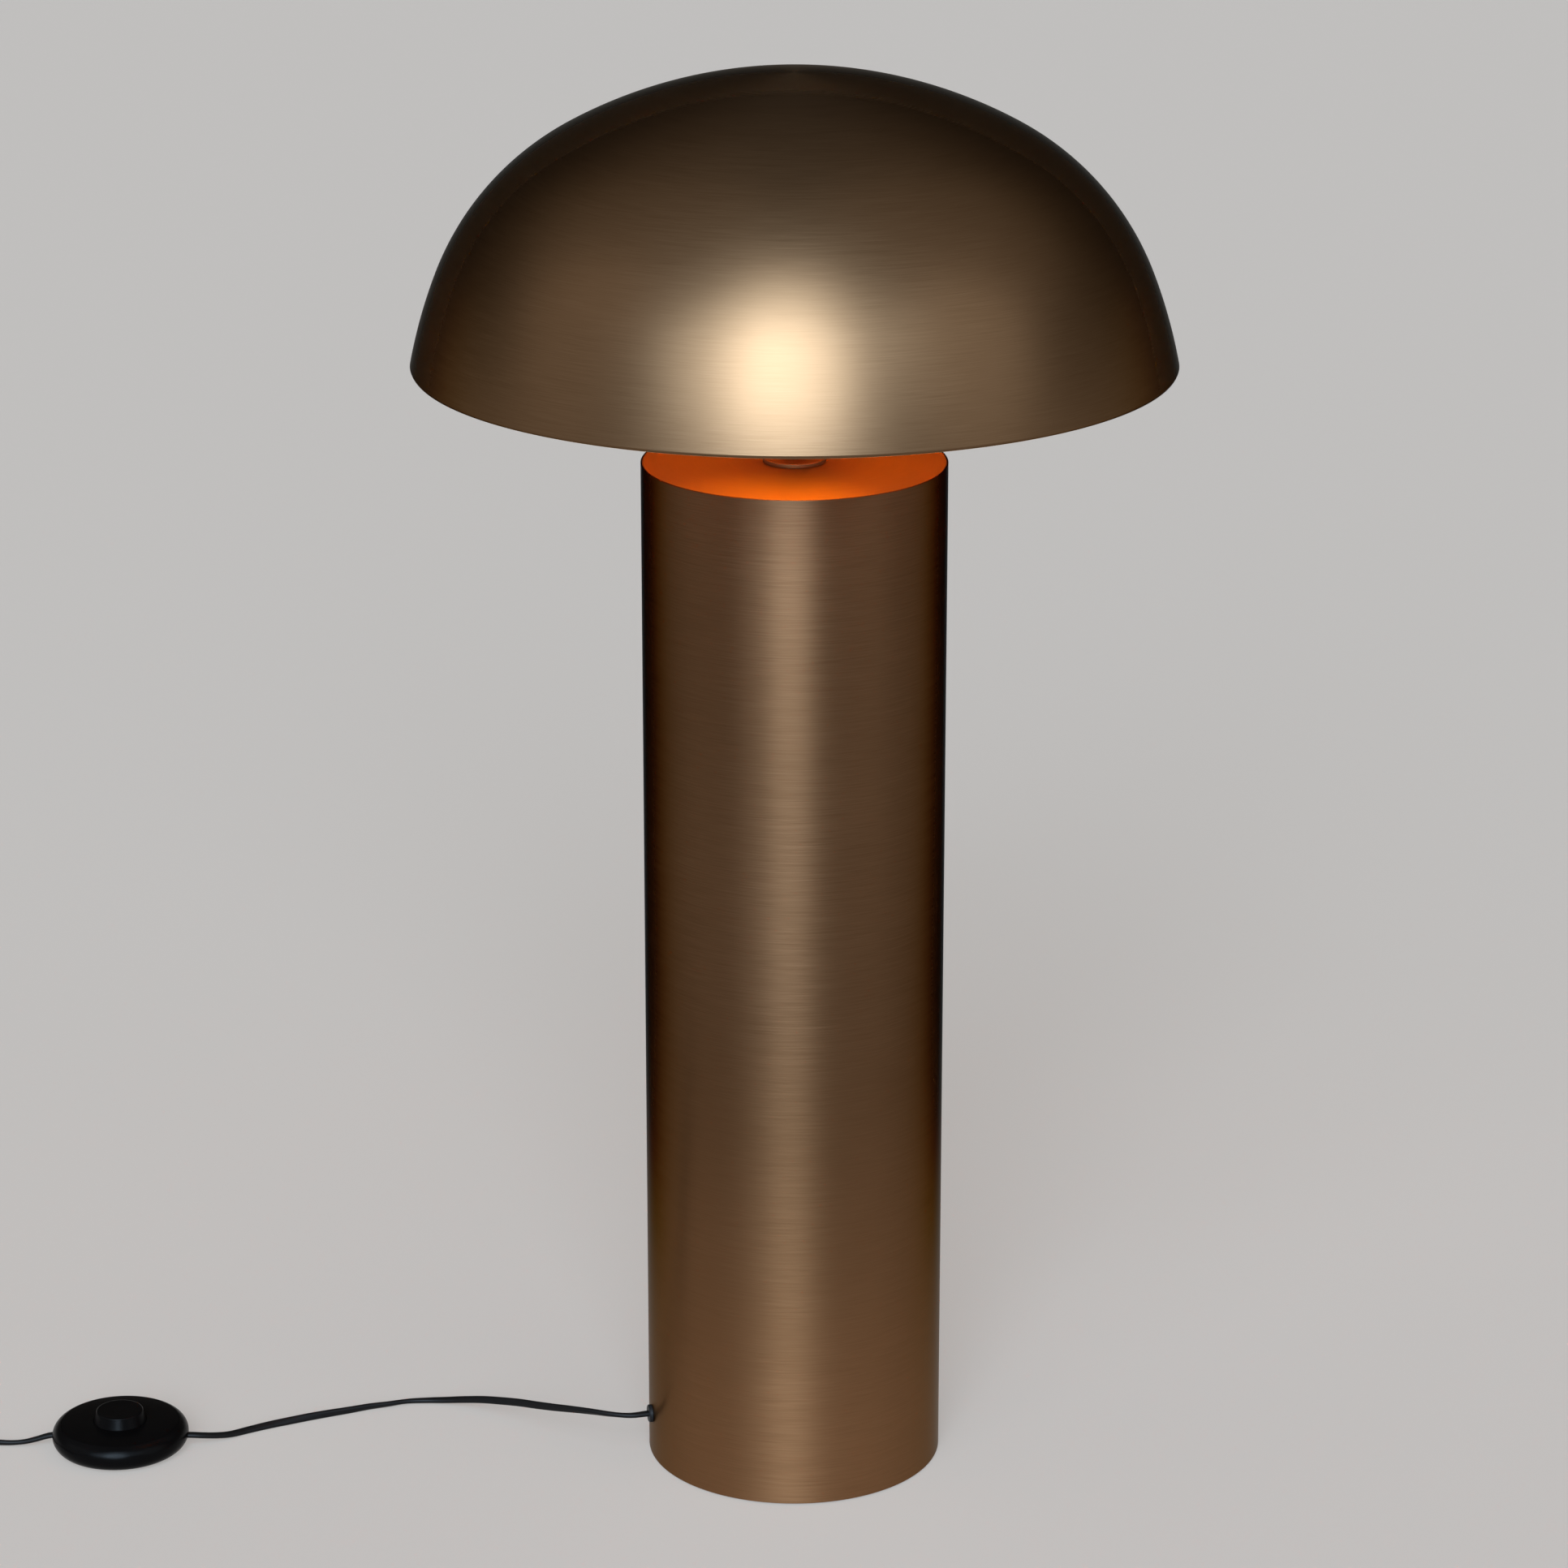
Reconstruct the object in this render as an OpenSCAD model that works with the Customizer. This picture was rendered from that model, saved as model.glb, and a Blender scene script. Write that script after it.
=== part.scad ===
// Mushroom floor lamp: a brass cylinder with a spun dome shade and a round foot switch on its flex.
// Millimetres, +Z up. The origin is on the floor, on the axis of the body. The front is -Y.

/* [Body] */
// Outer diameter of the body tube
body_d = 200; // [180:1:240]
// Height of the top plate's upper face above the floor
body_top = 700; // [500:5:900]
// Wall of the body tube
body_wall = 1.2; // [0.8:0.1:2]
// Thickness of the top plate
plate_t = 1.5; // [1:0.1:3]
// Depth of the skirt that is turned down round the top plate
skirt_h = 14; // [8:1:25]
// Thickness of the cast ballast disc
ballast_h = 18; // [12:1:19]
// Thickness of the soft foot ring
foot_h = 3; // [2:0.5:5]
// Height of the tube's lower edge above the floor
tube_lift = 1; // [0.5:0.5:2]

/* [Neck] */
// Diameter of the collar disc
collar_d = 41; // [34:1:60]
// Thickness of the collar disc
collar_h = 3; // [2:0.5:6]
// Diameter of the stem
stem_d = 16; // [13:0.5:20]
// Length of the stem above the collar
stem_h = 35; // [25:1:80]
// Diameter of the threaded nipple inside the stem
nipple_d = 10; // [9.6:0.1:10.4]
// Bore of the nipple
nipple_bore = 7; // [6.4:0.1:7.6]

/* [Shade] */
// Height of the top of the dome above the floor less the height of the spider's seat
dome_rise = 188; // [175:1:220]
// Radius of the crown of the dome
crown_r = 311; // [290:1:330]
// Radius of the shoulder of the dome
shoulder_r = 180; // [165:1:195]
// Radius of the lower side of the dome
side_r = 333; // [310:1:350]
// Slope of the dome where the crown meets the shoulder, in degrees
crown_to = 29; // [27:0.5:31]
// Slope of the dome where the shoulder meets the side, in degrees
shoulder_to = 68.4; // [67:0.2:70]
// Slope of the dome at the rim, in degrees
side_to = 78.6; // [77:0.2:80]
// Wall of the dome
dome_wall = 1.2; // [0.8:0.1:2]
// Radius of the curled bead along the rim
bead_r = 2.2; // [1.8:0.1:3]
// How far the bead stands back from the dome's side
bead_step = 0.15; // [0.1:0.05:0.4]
// Width of each spider arm
arm_w = 12; // [8:1:16]
// Thickness of the spider
spider_t = 2; // [1.5:0.1:3]

/* [Bulb] */
// Largest diameter of the bulb
bulb_d = 60; // [45:1:80]
// Length of the bulb from its contact to its top
bulb_l = 107; // [95:1:120]

/* [Foot switch] */
// Outer diameter of the foot switch
switch_d = 93.6; // [88:0.2:100]
// Radius of the rounded edge of the switch
nose_r = 9.4; // [9:0.1:10]
// Height of the top of the cover at the button
cover_top = 20.2; // [19.6:0.1:21]
// Diameter of the button's face
button_d = 32.4; // [31:0.2:34]
// Height of the button's face above the floor
button_top = 28; // [27:0.2:30]
// How far the button goes down
button_travel = 3.5; // [3:0.1:3.5]
// Wall of the switch's shells
shell_t = 2; // [1.6:0.1:2.2]

/* [Flex and plug] */
// Width of the flat flex
flex_w = 5.4; // [5:0.1:5.6]
// Thickness of the flat flex
flex_t = 3.4; // [3:0.1:3.6]
// Height of the cable bush above the floor
bush_z = 31; // [31:1:60]
// Diameter of the bush's flange
bush_d = 12.2; // [11:0.1:16]
// Turns of the put-away coil, ending a quarter turn past whole turns
coil_turns = 7.25; // [5.25:1:8.25]
// Inner radius of the coil, to the middle of the flex
coil_r = 24; // [22:0.5:26]
// Length of the plug's body
plug_l = 35; // [32:1:40]

/* [Hidden] */
$fn = 96;

// Clearances and the one overrun for all cuts
seat_gap = 0.05;   // between pieces that are pressed or clamped together
run_gap = 0.05;    // round a pin that turns in its bore
slide_gap = 0.3;   // round a piece that slides, and between moving faces
cut = 1;           // how far a cut runs past the solid

// Body: derived
body_r = body_d / 2;
bore_r = body_r - body_wall;
ballast_gap = 0.5;        // between the ballast and the tube
ballast_r = bore_r - ballast_gap;
ballast_top = foot_h + ballast_h;
bush_az = 192.5;          // direction of the bush, in degrees from +X
lug_az = [30, 150, 270];
lug_t = 3;
lug_w = 16;
lug_l = 18;
lug_leg = 14;
lug_screw_r = bore_r - lug_l + lug_w / 2;
screw_d = 5;
screw_head_d = 9.5;
screw_head_h = 3;
hex_key_d = 3.5;
hex_key_h = 1.8;
screw_out = 2;            // thread that shows beyond a lug
foot_inset = 2;
foot_out = ballast_r - foot_inset;
foot_w = 9;
chamfer = 1;

// Cable bush: derived
bush_flange_t = 2.5;
bush_body_d = 9.4;
bush_snap = 0.8;
bush_snap_l = 2.4;
bush_l = 4.5;
hole_gap = 0.3;

// Clip that holds the lead to the ballast: derived
clip_back = 32;           // from the tube to the clip
clip_at = body_r - clip_back;
clip_side = 9;            // from the lead to the clip's screw
clip_w = 8;
clip_h = 5.6;
clip_t = 1.6;
clip_screw_d = 4.5;
clip_head_d = 8.9;
clip_screw_l = 8;
clip_hole_l = 10;
lead_in = 6;              // straight lead behind the bush
lead_stop = 3;            // the lead ends this far below the top of the holder's cap
lead_steps = 10;
drop_steps = 4;

// Neck: derived
washer_od = 30;
washer_t = 2;
spring_washer_od = 18;
spring_washer_t = 1.2;
nut_af = 14;
nut_h = 4;
nipple_out = 2;           // thread that shows below the nut
nipple_in = 9;            // thread inside the holder's cap
nipple_below = plate_t + washer_t + spring_washer_t + nut_h + nipple_out;
nipple_above = collar_h + stem_h + nipple_in;
stem_z = body_top + collar_h;
cap_z = stem_z + stem_h;
edge_r = 0.6;

// Lampholder: derived
cap_h = 14;
cap_neck_r = 9;
cap_out_shares = [0.25, 0.75];
cap_in_shares = [0.7, 0.9];
holder_r = 19.6;
holder_wall = 2.2;
holder_h = 38;
shoulder_out = 8;
shoulder_h = 2;
seat_up = 14;             // the spider's seat above the top of the holder's cap
holder_z = cap_z + cap_h;
seat_z = holder_z + seat_up;
core_t = 6;
core_r = holder_r - holder_wall - seat_gap;
core_rise = 1;
core_z = holder_z + core_rise;
contact_w = 7;
contact_t = 0.5;
contact_rise = 3;
leaf_shares = [[-1, 0], [-0.6, 0], [-0.2, 1], [0.5, 1]];
thread_r = 13.2;          // outside of the bulb's screw cap
shell_in_r = thread_r + slide_gap;
screw_shell_t = 0.4;
shell_h = 24;
ring_h = 8;
knurl_r = 0.9;
knurl_count = 24;
terminal_d = 4;
terminal_h = 5;
terminal_r = 12.6;
terminal_low = 2.5;       // how far the terminal screws stand below the core
terminal_floor = 1.5;

// Shade: derived. The outside of the dome is three arcs, each tangent to the next.
dome_top = seat_z + dome_rise;
crown_z = dome_top - crown_r;
shoulder_x = (crown_r - shoulder_r) * sin(crown_to);
shoulder_z = crown_z + (crown_r - shoulder_r) * cos(crown_to);
side_x = shoulder_x - (side_r - shoulder_r) * sin(shoulder_to);
side_z = shoulder_z - (side_r - shoulder_r) * cos(shoulder_to);
rim_x = side_x + side_r * sin(side_to);
rim_z = side_z + side_r * cos(side_to);
arc_steps = 12;
ring_gap = 0.4;
ring_in_r = holder_r + ring_gap;
ring_out_r = holder_r + shoulder_out;
arm_az = [80, 200, 320];
tab_h = 22;
tab_up = 17;              // from the rim to the lower edge of each tab

// Bulb: derived
bulb_r = bulb_d / 2;
bulb_z = core_z + core_t + contact_rise + slide_gap;
glass_t = 0.8;
neck_r = 13.8;
ball_z = bulb_z + bulb_l - bulb_r;
waist_to = 42;            // slope at which the neck's cone leaves the ball
insulator_h = 5;
insulator_in = 1;         // the insulator's rim inside the cap
insulator_back = 1.6;
cap_l = 28;               // from the bulb's contact to the top of its cap
cap_bottom = bulb_z + insulator_h;
cap_top = bulb_z + cap_l;
neck_z = cap_top;
cap_wall = 0.5;
cap_lead_r = 1;
cap_lead_h = 2;
cap_cone_h = 3;
glue_gap = 0.1;
tip_r = 3;
tip_base_r = 4.6;
tip_h = 1.2;
filament_r = 0.9;
filament_l = 38;
filament_lean = 12;
filament_count = 4;
filament_ring = 7;
stem_glass_r = 3;
filament_up = 12;         // from the bulb's cap to the foot of the filaments
flare_share = 0.8;
support_r = 0.35;

// Foot switch: derived. Its middle is a place on the floor, read from the flex's route.
switch_x = -465;
switch_y = -9;
switch_r = switch_d / 2;
feet_h = 1.2;
feet_r = 5;
feet_at = 28;
feet_pocket = 0.4;
base_z = feet_h - feet_pocket;
nose_x = switch_r - nose_r;
nose_z = base_z + nose_r;
seam_share = 0.66;
seam_r = switch_r - seam_share * nose_r;
seam_z = nose_z + sqrt(nose_r * nose_r - (seam_r - nose_x) * (seam_r - nose_x));
floor_z = base_z + shell_t;
under_z = seam_z - shell_t;
guide_r = 18.45;
guide_t = 2;
guide_h = 2.2;
skirt_r = guide_r - slide_gap;
skirt_t = 1.75;
flange_back = 0.25;
flange_r = guide_r + guide_t - flange_back;
flange_t = 1.7;
flange_top = under_z - guide_h - slide_gap;
button_r = button_d / 2;
button_wall = 2.2;
button_edge = 1.5;
boss_at = 33;
boss_r = 3.5;
peg_r = 3;
peg_h = 6;
cover_screw_r = 1.45;
cover_screw_head_r = 2.8;
cover_screw_head_h = 1.8;
cover_screw_az = [90, 210, 330];
feet_az = [30, 150, 270];
flex_z = 8.5;
flex_hole_gap = 0.25;
clamp_at = 34;
clamp_l = 5;
clamp_w = 18;
clamp_t = 2.4;
clamp_screw_r = 1.3;
clamp_head_r = 2.4;
clamp_head_h = 1.6;
clamp_screw_y = 6.4;
clamp_screw_low = 1;      // the clamp's screws stop this far above the floor of the base
flex_strip = 1;           // sheath that shows beyond a clamp
flex_in = clamp_at - clamp_l / 2 - flex_strip;

// Ratchet: the plunger's teeth push four ramps round while the button goes down.
pin_r = 1.6;
cup_out = 15.8;
cup_t = 1.5;
cup_top_t = 1.2;
contact_h = 0.6;
wiper_t = 0.5;
wiper_z = floor_z + seat_gap + contact_h + slide_gap;
disc_z = wiper_z + wiper_t;
disc_h = 1.5;
disc_r = 7;
ramp_h = 4.5;
ramp_a = 45;
ramp_in = 2.4;
ramp_out = 6.6;
ramp_count = 4;
tooth_a = 10;
ramp_z = disc_z + disc_h;
cup_z = floor_z + seat_gap;
cup_gap = 0.75;
cup_top = ramp_z + ramp_h + cup_gap;
plunger_in = 2.1;
plunger_out = 7;
plunger_gap = 1.35;       // left over the ramps when the button is right down
plunger_z = ramp_z + ramp_h + button_travel + plunger_gap;
pin_short = 2;            // the pin ends this far below the plunger at rest
wiper_r = 12;
wiper_w = 5;
strip_w = 5;
strip_in = 7.6;
strip_out = 28;
block_w = 7.4;
block_h = 4.2;
block_at = 25;
block_screw_r = 1.5;
block_head_r = 2.4;
block_head_h = 1.6;
spring_wire = 0.9;
spring_r = 9;
spring_curls = 6;
spring_rings = 8;
core_wire_r = 1.05;
core_ring = 18.2;
core_lift = 1.1;
core_level = floor_z + contact_h + core_wire_r + core_lift;

// Cores inside the switch: points chosen by hand, x and y from its middle, z from the cores' level
live_route = [[26, 10, 1], [20, 17, 0], [12, 21, 0], [5, 22.8, 0]];
live_start = [4, 2, -1];  // from the end of the sheath
neutral_start = [4, -1, -1];
neutral_in = [24, -5, 1.4];
neutral_out = [-22, -3, 1.4];
neutral_end = [4, 1.5, -1];

// Flex: routes of points chosen by hand. Each point is x, y, z and the roll of the flat flex in degrees.
lamp_route = [
    [-112, -24.5, 30.6, 15], [-125, -22.5, 30.5, 32], [-138, -17, 29.8, 48], [-152, -9, 27.8, 64],
    [-165, 0, 25, 80], [-178, 10, 22, 94], [-191, 22, 18.3, 108], [-205, 33, 14.5, 124],
    [-218, 43, 10.7, 139], [-232, 52, 6.5, 154], [-245, 57, 3.8, 170], [-258, 59.5, 2.4, 186],
    [-272, 58, 2.4, 203], [-285, 53, 2.6, 219], [-298, 48.5, 2.8, 235], [-311, 43, 2.8, 250],
    [-325, 37.5, 2.8, 268], [-338, 32, 2.8, 286], [-352, 25.5, 2.7, 305], [-365, 19.5, 2.5, 322],
    [-378, 12.5, 2.3, 336], [-390, 4, 2.9, 348], [-399, -2.5, 5, 354], [-408, -7.5, 7.4, 358]];
plug_route = [
    [-524, -9, 5.2, 10], [-532, -8.8, 3.2, 20], [-541, -8.6, 2.3, 32], [-550, -8.5, 2.5, 44],
    [-559, -8.4, 2.7, 56], [-568, -8.4, 2.9, 67], [-577, -8.5, 3.1, 77], [-585, -8.6, 3.2, 85]];
end_route = [
    [0, -12, -0.4, 90], [0, -19, -1.6, 70], [-0.3, -26, -2.6, 45], [-0.6, -33, -3, 20], [-0.6, -40, -2.8, 5]];
loop_rings = 24;
loop_sides = 6;
run_sides = 8;
lay_gap = 0.5;
tie_t = 0.6;
tie_w = 8;
tie_az = 330;
coil_x = -600;
coil_y = -47.4;
coil_pitch = flex_t + lay_gap;
coil_climb = flex_w + lay_gap;
coil_out = coil_r + coil_pitch * coil_turns / 2;
coil_lift = 0.2;
coil_z = flex_w / 2 + tie_t + coil_lift;
plug_w = 25.6;
plug_h = 13.7;
plug_nose_share = 0.62;
plug_front_share = 0.94;
plug_slope_shares = [0.8, 1.6];
plug_tail_l = 11;
plug_tail_w = 9;
plug_tail_h = 8;
plug_gap = 46;
pin_d = 4;
pin_l = 19;
pin_pitch = 18.6;
sleeve_d = 3.8;
sleeve_l = 10;
plug_pin_lean = 0.8;

// The end of the coil, where the flex leaves it towards -Y
end_x = coil_x - coil_out;
end_y = coil_y - flex_w;
end_z = coil_z + coil_climb;
plug_z = plug_h / 2;
plug_y = end_y - plug_gap;

// Small helpers
function unit(v) = v / norm(v);
function xyz(p) = [p[0], p[1], p[2]];
// Section of the flat flex: n points on a flat oval of width w and thickness t, its long axis first
function oval(n, w, t) = [for (i = [0:n - 1]) let (a = 360 * (i + (n == 8 ? 0.5 : 0)) / n, c = cos(a))
    [t / 2 * c + (abs(c) < 0.001 ? 0 : sign(c) * (w - t) / 2), t / 2 * sin(a)]];
// Section of a round wire
function wire(n, r) = [for (i = [0:n - 1]) [r * cos(360 * i / n), r * sin(360 * i / n)]];
function heading(p, i) = unit(xyz(p[min(i + 1, len(p) - 1)]) - xyz(p[max(i - 1, 0)]));

// A tube along route p, whose points are x, y, z and roll. up is the direction that the roll starts from.
module swept(p, section, up = [0, 0, 1], start = undef, finish = undef) {
    n = len(section);
    last = len(p) - 1;
    rings = [for (i = [0:last])
        let (t = i == 0 && start != undef ? start : i == last && finish != undef ? finish : heading(p, i),
             side = unit(cross(up, t)), top = cross(t, side), a = p[i][3],
             wide = side * cos(a) + top * sin(a), thin = top * cos(a) - side * sin(a))
        for (s = section) xyz(p[i]) + wide * s[0] + thin * s[1]];
    sides = [for (i = [0:last - 1], j = [0:n - 1]) let (k = (j + 1) % n, b = i * n)
        each [[b + j, b + n + j, b + k], [b + k, b + n + j, b + n + k]]];
    first_cap = [for (j = [1:n - 2]) [0, j, j + 1]];
    last_cap = [for (j = [1:n - 2]) [last * n, last * n + j + 1, last * n + j]];
    polyhedron(rings, concat(sides, first_cap, last_cap), convexity = 10);
}

// A tube of radius r from z0 to z1 with a bore
module ring(r, bore, z0, z1) {
    translate([0, 0, z0]) difference() {
        cylinder(r = r, h = z1 - z0);
        translate([0, 0, -cut]) cylinder(r = bore, h = z1 - z0 + 2 * cut);
    }
}

// A cylinder of radius r from z0 to z1
module rod(r, z0, z1) {
    translate([0, 0, z0]) cylinder(r = r, h = z1 - z0);
}

// Copies of the children at each direction, at distance d from the axis
module around(directions, d) {
    for (a = directions) rotate([0, 0, a]) translate([d, 0, 0]) children();
}

// Places the children in the frame of the foot switch
module at_switch() {
    translate([switch_x, switch_y, 0]) children();
}

// Body

module body_tube() {
    color("darkgoldenrod") difference() {
        ring(body_r, bore_r, tube_lift, body_top);
        rotate([0, 0, bush_az]) translate([bore_r - cut, 0, bush_z]) rotate([0, 90, 0])
            cylinder(d = bush_body_d + hole_gap, h = body_wall + 2 * cut);
    }
}

module top_plate() {
    plate_r = bore_r - seat_gap;
    color("darkgoldenrod") difference() {
        union() {
            rod(plate_r, body_top - plate_t, body_top);
            ring(plate_r, plate_r - plate_t, body_top - skirt_h, body_top - plate_t / 2);
        }
        rod(nipple_d / 2 + seat_gap, body_top - plate_t - cut, body_top + cut);
    }
}

module ballast() {
    color("dimgray") difference() {
        rotate_extrude() polygon([[0, foot_h], [ballast_r - chamfer, foot_h], [ballast_r, foot_h + chamfer],
            [ballast_r, ballast_top - chamfer], [ballast_r - chamfer, ballast_top], [0, ballast_top]]);
        around(lug_az, lug_screw_r) {
            rod(screw_d / 2 + slide_gap, foot_h - cut, ballast_top + cut);
            rod(screw_head_d / 2 + slide_gap, foot_h - cut, foot_h + screw_head_h + slide_gap);
        }
        clip_frame() rod(clip_screw_d / 2 + seat_gap, ballast_top - clip_hole_l, ballast_top + cut);
    }
}

module foot_ring() {
    color("black") ring(foot_out, foot_out - foot_w, 0, foot_h);
}

module tube_lugs() {
    low = ballast_top + seat_gap;
    color("gray") for (a = lug_az) rotate([0, 0, a]) difference() {
        intersection() {
            translate([bore_r - lug_l, -lug_w / 2, low]) union() {
                cube([lug_l + cut, lug_w, lug_t]);
                translate([lug_l - lug_t, 0, 0]) cube([lug_t + cut, lug_w, lug_leg]);
            }
            rod(bore_r - seat_gap, low - cut, low + lug_leg + cut);
        }
        translate([lug_screw_r, 0, 0]) rod(screw_d / 2 + seat_gap, low - cut, low + lug_leg);
    }
}

module ballast_screws() {
    head_z = foot_h + screw_head_h + slide_gap;
    color("silver") around(lug_az, lug_screw_r) difference() {
        union() {
            rod(screw_head_d / 2, head_z - screw_head_h, head_z);
            rod(screw_d / 2, head_z, ballast_top + lug_t + screw_out);
        }
        rod(hex_key_d / 2, head_z - screw_head_h - cut, head_z - screw_head_h + hex_key_h, $fn = 6);
    }
}

// The bush's own frame: X leads out of the body through the middle of the hole
module bush_frame() {
    rotate([0, 0, bush_az]) translate([body_r, 0, bush_z]) rotate([0, 90, 0]) children();
}

module cable_bush() {
    color("black") bush_frame() difference() {
        union() {
            rod(bush_d / 2, seat_gap, bush_flange_t - edge_r);
            translate([0, 0, bush_flange_t - edge_r])
                cylinder(r1 = bush_d / 2, r2 = bush_d / 2 - edge_r, h = edge_r);
            rod(bush_body_d / 2, -body_wall - bush_l, seat_gap);
            translate([0, 0, -body_wall - hole_gap - bush_snap_l])
                cylinder(r1 = bush_body_d / 2, r2 = bush_body_d / 2 + bush_snap, h = bush_snap_l);
        }
        flex_slot(-body_wall - bush_l - cut, bush_flange_t + cut);
    }
}

// A slot for the flat flex between two heights, wide along Y
module flex_slot(z0, z1, gap = 0.1) {
    w = flex_w - flex_t;
    r = flex_t / 2 + gap;
    translate([0, 0, z0]) linear_extrude(z1 - z0) union() {
        translate([-r, -w / 2]) square([2 * r, w]);
        for (s = [-1, 1]) translate([0, s * w / 2]) circle(r);
    }
}

// The clip's frame: its screw stands at the origin, on the ballast, beside the lead
module clip_frame() {
    rotate([0, 0, bush_az]) translate([clip_at, clip_side, 0]) children();
}

module cord_clip() {
    half = flex_w / 2 + clip_t;
    low = ballast_top + seat_gap;
    color("black") clip_frame() difference() {
        union() {
            translate([-clip_w / 2, -clip_side - half, low])
                cube([clip_w, clip_side + half + clip_w / 2, clip_t]);
            translate([-clip_w / 2, -clip_side - half, low]) cube([clip_w, 2 * half, clip_h]);
        }
        translate([-clip_w / 2 - cut, -clip_side - flex_w / 2 - slide_gap / 2, low - cut])
            cube([clip_w + 2 * cut, flex_w + slide_gap, flex_t + slide_gap + cut]);
        rod(clip_screw_d / 2 + slide_gap, low - cut, low + clip_h + cut);
    }
}

module clip_screw() {
    low = ballast_top + seat_gap + clip_t + seat_gap;
    color("silver") clip_frame() difference() {
        union() {
            rod(clip_screw_d / 2, ballast_top - clip_screw_l, low + seat_gap);
            rod(clip_head_d / 2, low, low + screw_head_h);
        }
        rod(hex_key_d / 2, low + screw_head_h - hex_key_h, low + screw_head_h + cut, $fn = 6);
    }
}

// The lead inside the body: it drops from the bush to the ballast, runs under the clip and rises to the nipple
module inner_lead() {
    out = body_r + bush_flange_t;
    lay = ballast_top + flex_t / 2 + 2 * seat_gap;
    turn_x = clip_at - clip_w;
    turn_z = body_top - nipple_below - clip_w;
    drop = body_r - lead_in - clip_at - clip_w;
    path = concat(
        [[out, bush_z]],
        [for (i = [0:drop_steps]) let (s = i / drop_steps)
            [body_r - lead_in - drop * s, bush_z - (bush_z - lay) * s * s * (3 - 2 * s)]],
        [[clip_at, lay]],
        [for (i = [0:lead_steps]) let (a = 90 * i / lead_steps)
            [turn_x - turn_x * sin(a), turn_z - (turn_z - lay) * cos(a)]],
        [[0, body_top], [0, holder_z - lead_stop]]);
    a = bush_az;
    points = [for (p = path) [p[0] * cos(a), p[0] * sin(a), p[1], 90]];
    color("black") swept(points, oval(run_sides, flex_w, flex_t), [-sin(a), cos(a), 0],
        [-cos(a), -sin(a), 0], [0, 0, 1]);
}

// Neck

module collar() {
    color("darkgoldenrod") rotate_extrude() polygon([[nipple_d / 2 + seat_gap, body_top],
        [collar_d / 2 - edge_r, body_top], [collar_d / 2, body_top + edge_r], [collar_d / 2, stem_z - edge_r],
        [collar_d / 2 - edge_r, stem_z], [nipple_d / 2 + seat_gap, stem_z]]);
}

module stem_tube() {
    color("darkgoldenrod") ring(stem_d / 2, nipple_d / 2 + seat_gap, stem_z, cap_z);
}

module nipple() {
    color("goldenrod") ring(nipple_d / 2, nipple_bore / 2, body_top - nipple_below, body_top + nipple_above);
}

module plate_washer() {
    top = body_top - plate_t;
    color("silver") ring(washer_od / 2, nipple_d / 2 + seat_gap, top - washer_t, top);
}

module spring_washer() {
    top = body_top - plate_t - washer_t;
    color("silver") difference() {
        ring(spring_washer_od / 2, nipple_d / 2 + seat_gap, top - spring_washer_t, top);
        translate([0, -spring_washer_t / 2, top - spring_washer_t - cut])
            cube([spring_washer_od, spring_washer_t, spring_washer_t + 2 * cut]);
    }
}

module nipple_nut() {
    top = body_top - plate_t - washer_t - spring_washer_t;
    color("goldenrod") difference() {
        translate([0, 0, top - nut_h]) cylinder(d = nut_af / cos(30), h = nut_h, $fn = 6);
        rod(nipple_d / 2 + seat_gap, top - nut_h - cut, top + cut);
    }
}

// Lampholder

module holder_cap() {
    color("black") difference() {
        rotate_extrude() polygon([[0, cap_z], [cap_neck_r, cap_z],
            [cap_neck_r, cap_z + cap_h * cap_out_shares[0]], [holder_r, cap_z + cap_h * cap_out_shares[1]],
            [holder_r, holder_z], [0, holder_z]]);
        rod(nipple_d / 2 + seat_gap, cap_z - cut, holder_z + cut);
        rotate_extrude() polygon([[0, cap_z + cap_h * cap_in_shares[0]],
            [cap_neck_r - holder_wall, cap_z + cap_h * cap_in_shares[0]],
            [holder_r - holder_wall, cap_z + cap_h * cap_in_shares[1]],
            [holder_r - holder_wall, holder_z + cut], [0, holder_z + cut]]);
    }
}

module holder_body() {
    color("black") difference() {
        union() {
            rod(holder_r, holder_z, holder_z + holder_h);
            translate([0, 0, seat_z - shoulder_h]) cylinder(r = ring_out_r, h = shoulder_h);
            translate([0, 0, seat_z - 2 * shoulder_h])
                cylinder(r1 = holder_r, r2 = ring_out_r, h = shoulder_h);
        }
        rod(holder_r - holder_wall, holder_z - cut, holder_z + holder_h + cut);
    }
}

module holder_core() {
    top = core_z + core_t;
    color("white") difference() {
        union() {
            rod(core_r, core_z, top);
            ring(core_r, shell_in_r + screw_shell_t + seat_gap, top, top + contact_rise);
        }
        around([0, 180], terminal_r) rod(terminal_d / 2 + seat_gap, core_z - cut, top - terminal_floor);
        rotate([0, 0, 90]) translate([shell_in_r - contact_w / 2, -contact_w / 2 - seat_gap, top])
            cube([contact_w / 2 + screw_shell_t + contact_t + slide_gap, contact_w + 2 * seat_gap,
                contact_rise + cut]);
    }
}

module screw_shell() {
    color("gold") ring(shell_in_r + screw_shell_t, shell_in_r, core_z + core_t, core_z + core_t + shell_h);
}

// A leaf spring: flat at its foot, then raised to meet the bulb's contact
module centre_contact() {
    z = core_z + core_t;
    w = contact_w;
    rise = contact_rise - contact_t;
    line = [for (s = leaf_shares) [w * s[0], z + rise * s[1]]];
    color("gold") translate([0, w / 2, 0]) rotate([90, 0, 0]) linear_extrude(w)
        polygon(concat(line, [for (i = [len(line) - 1:-1:0]) line[i] + [0, contact_t]]));
}

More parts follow.
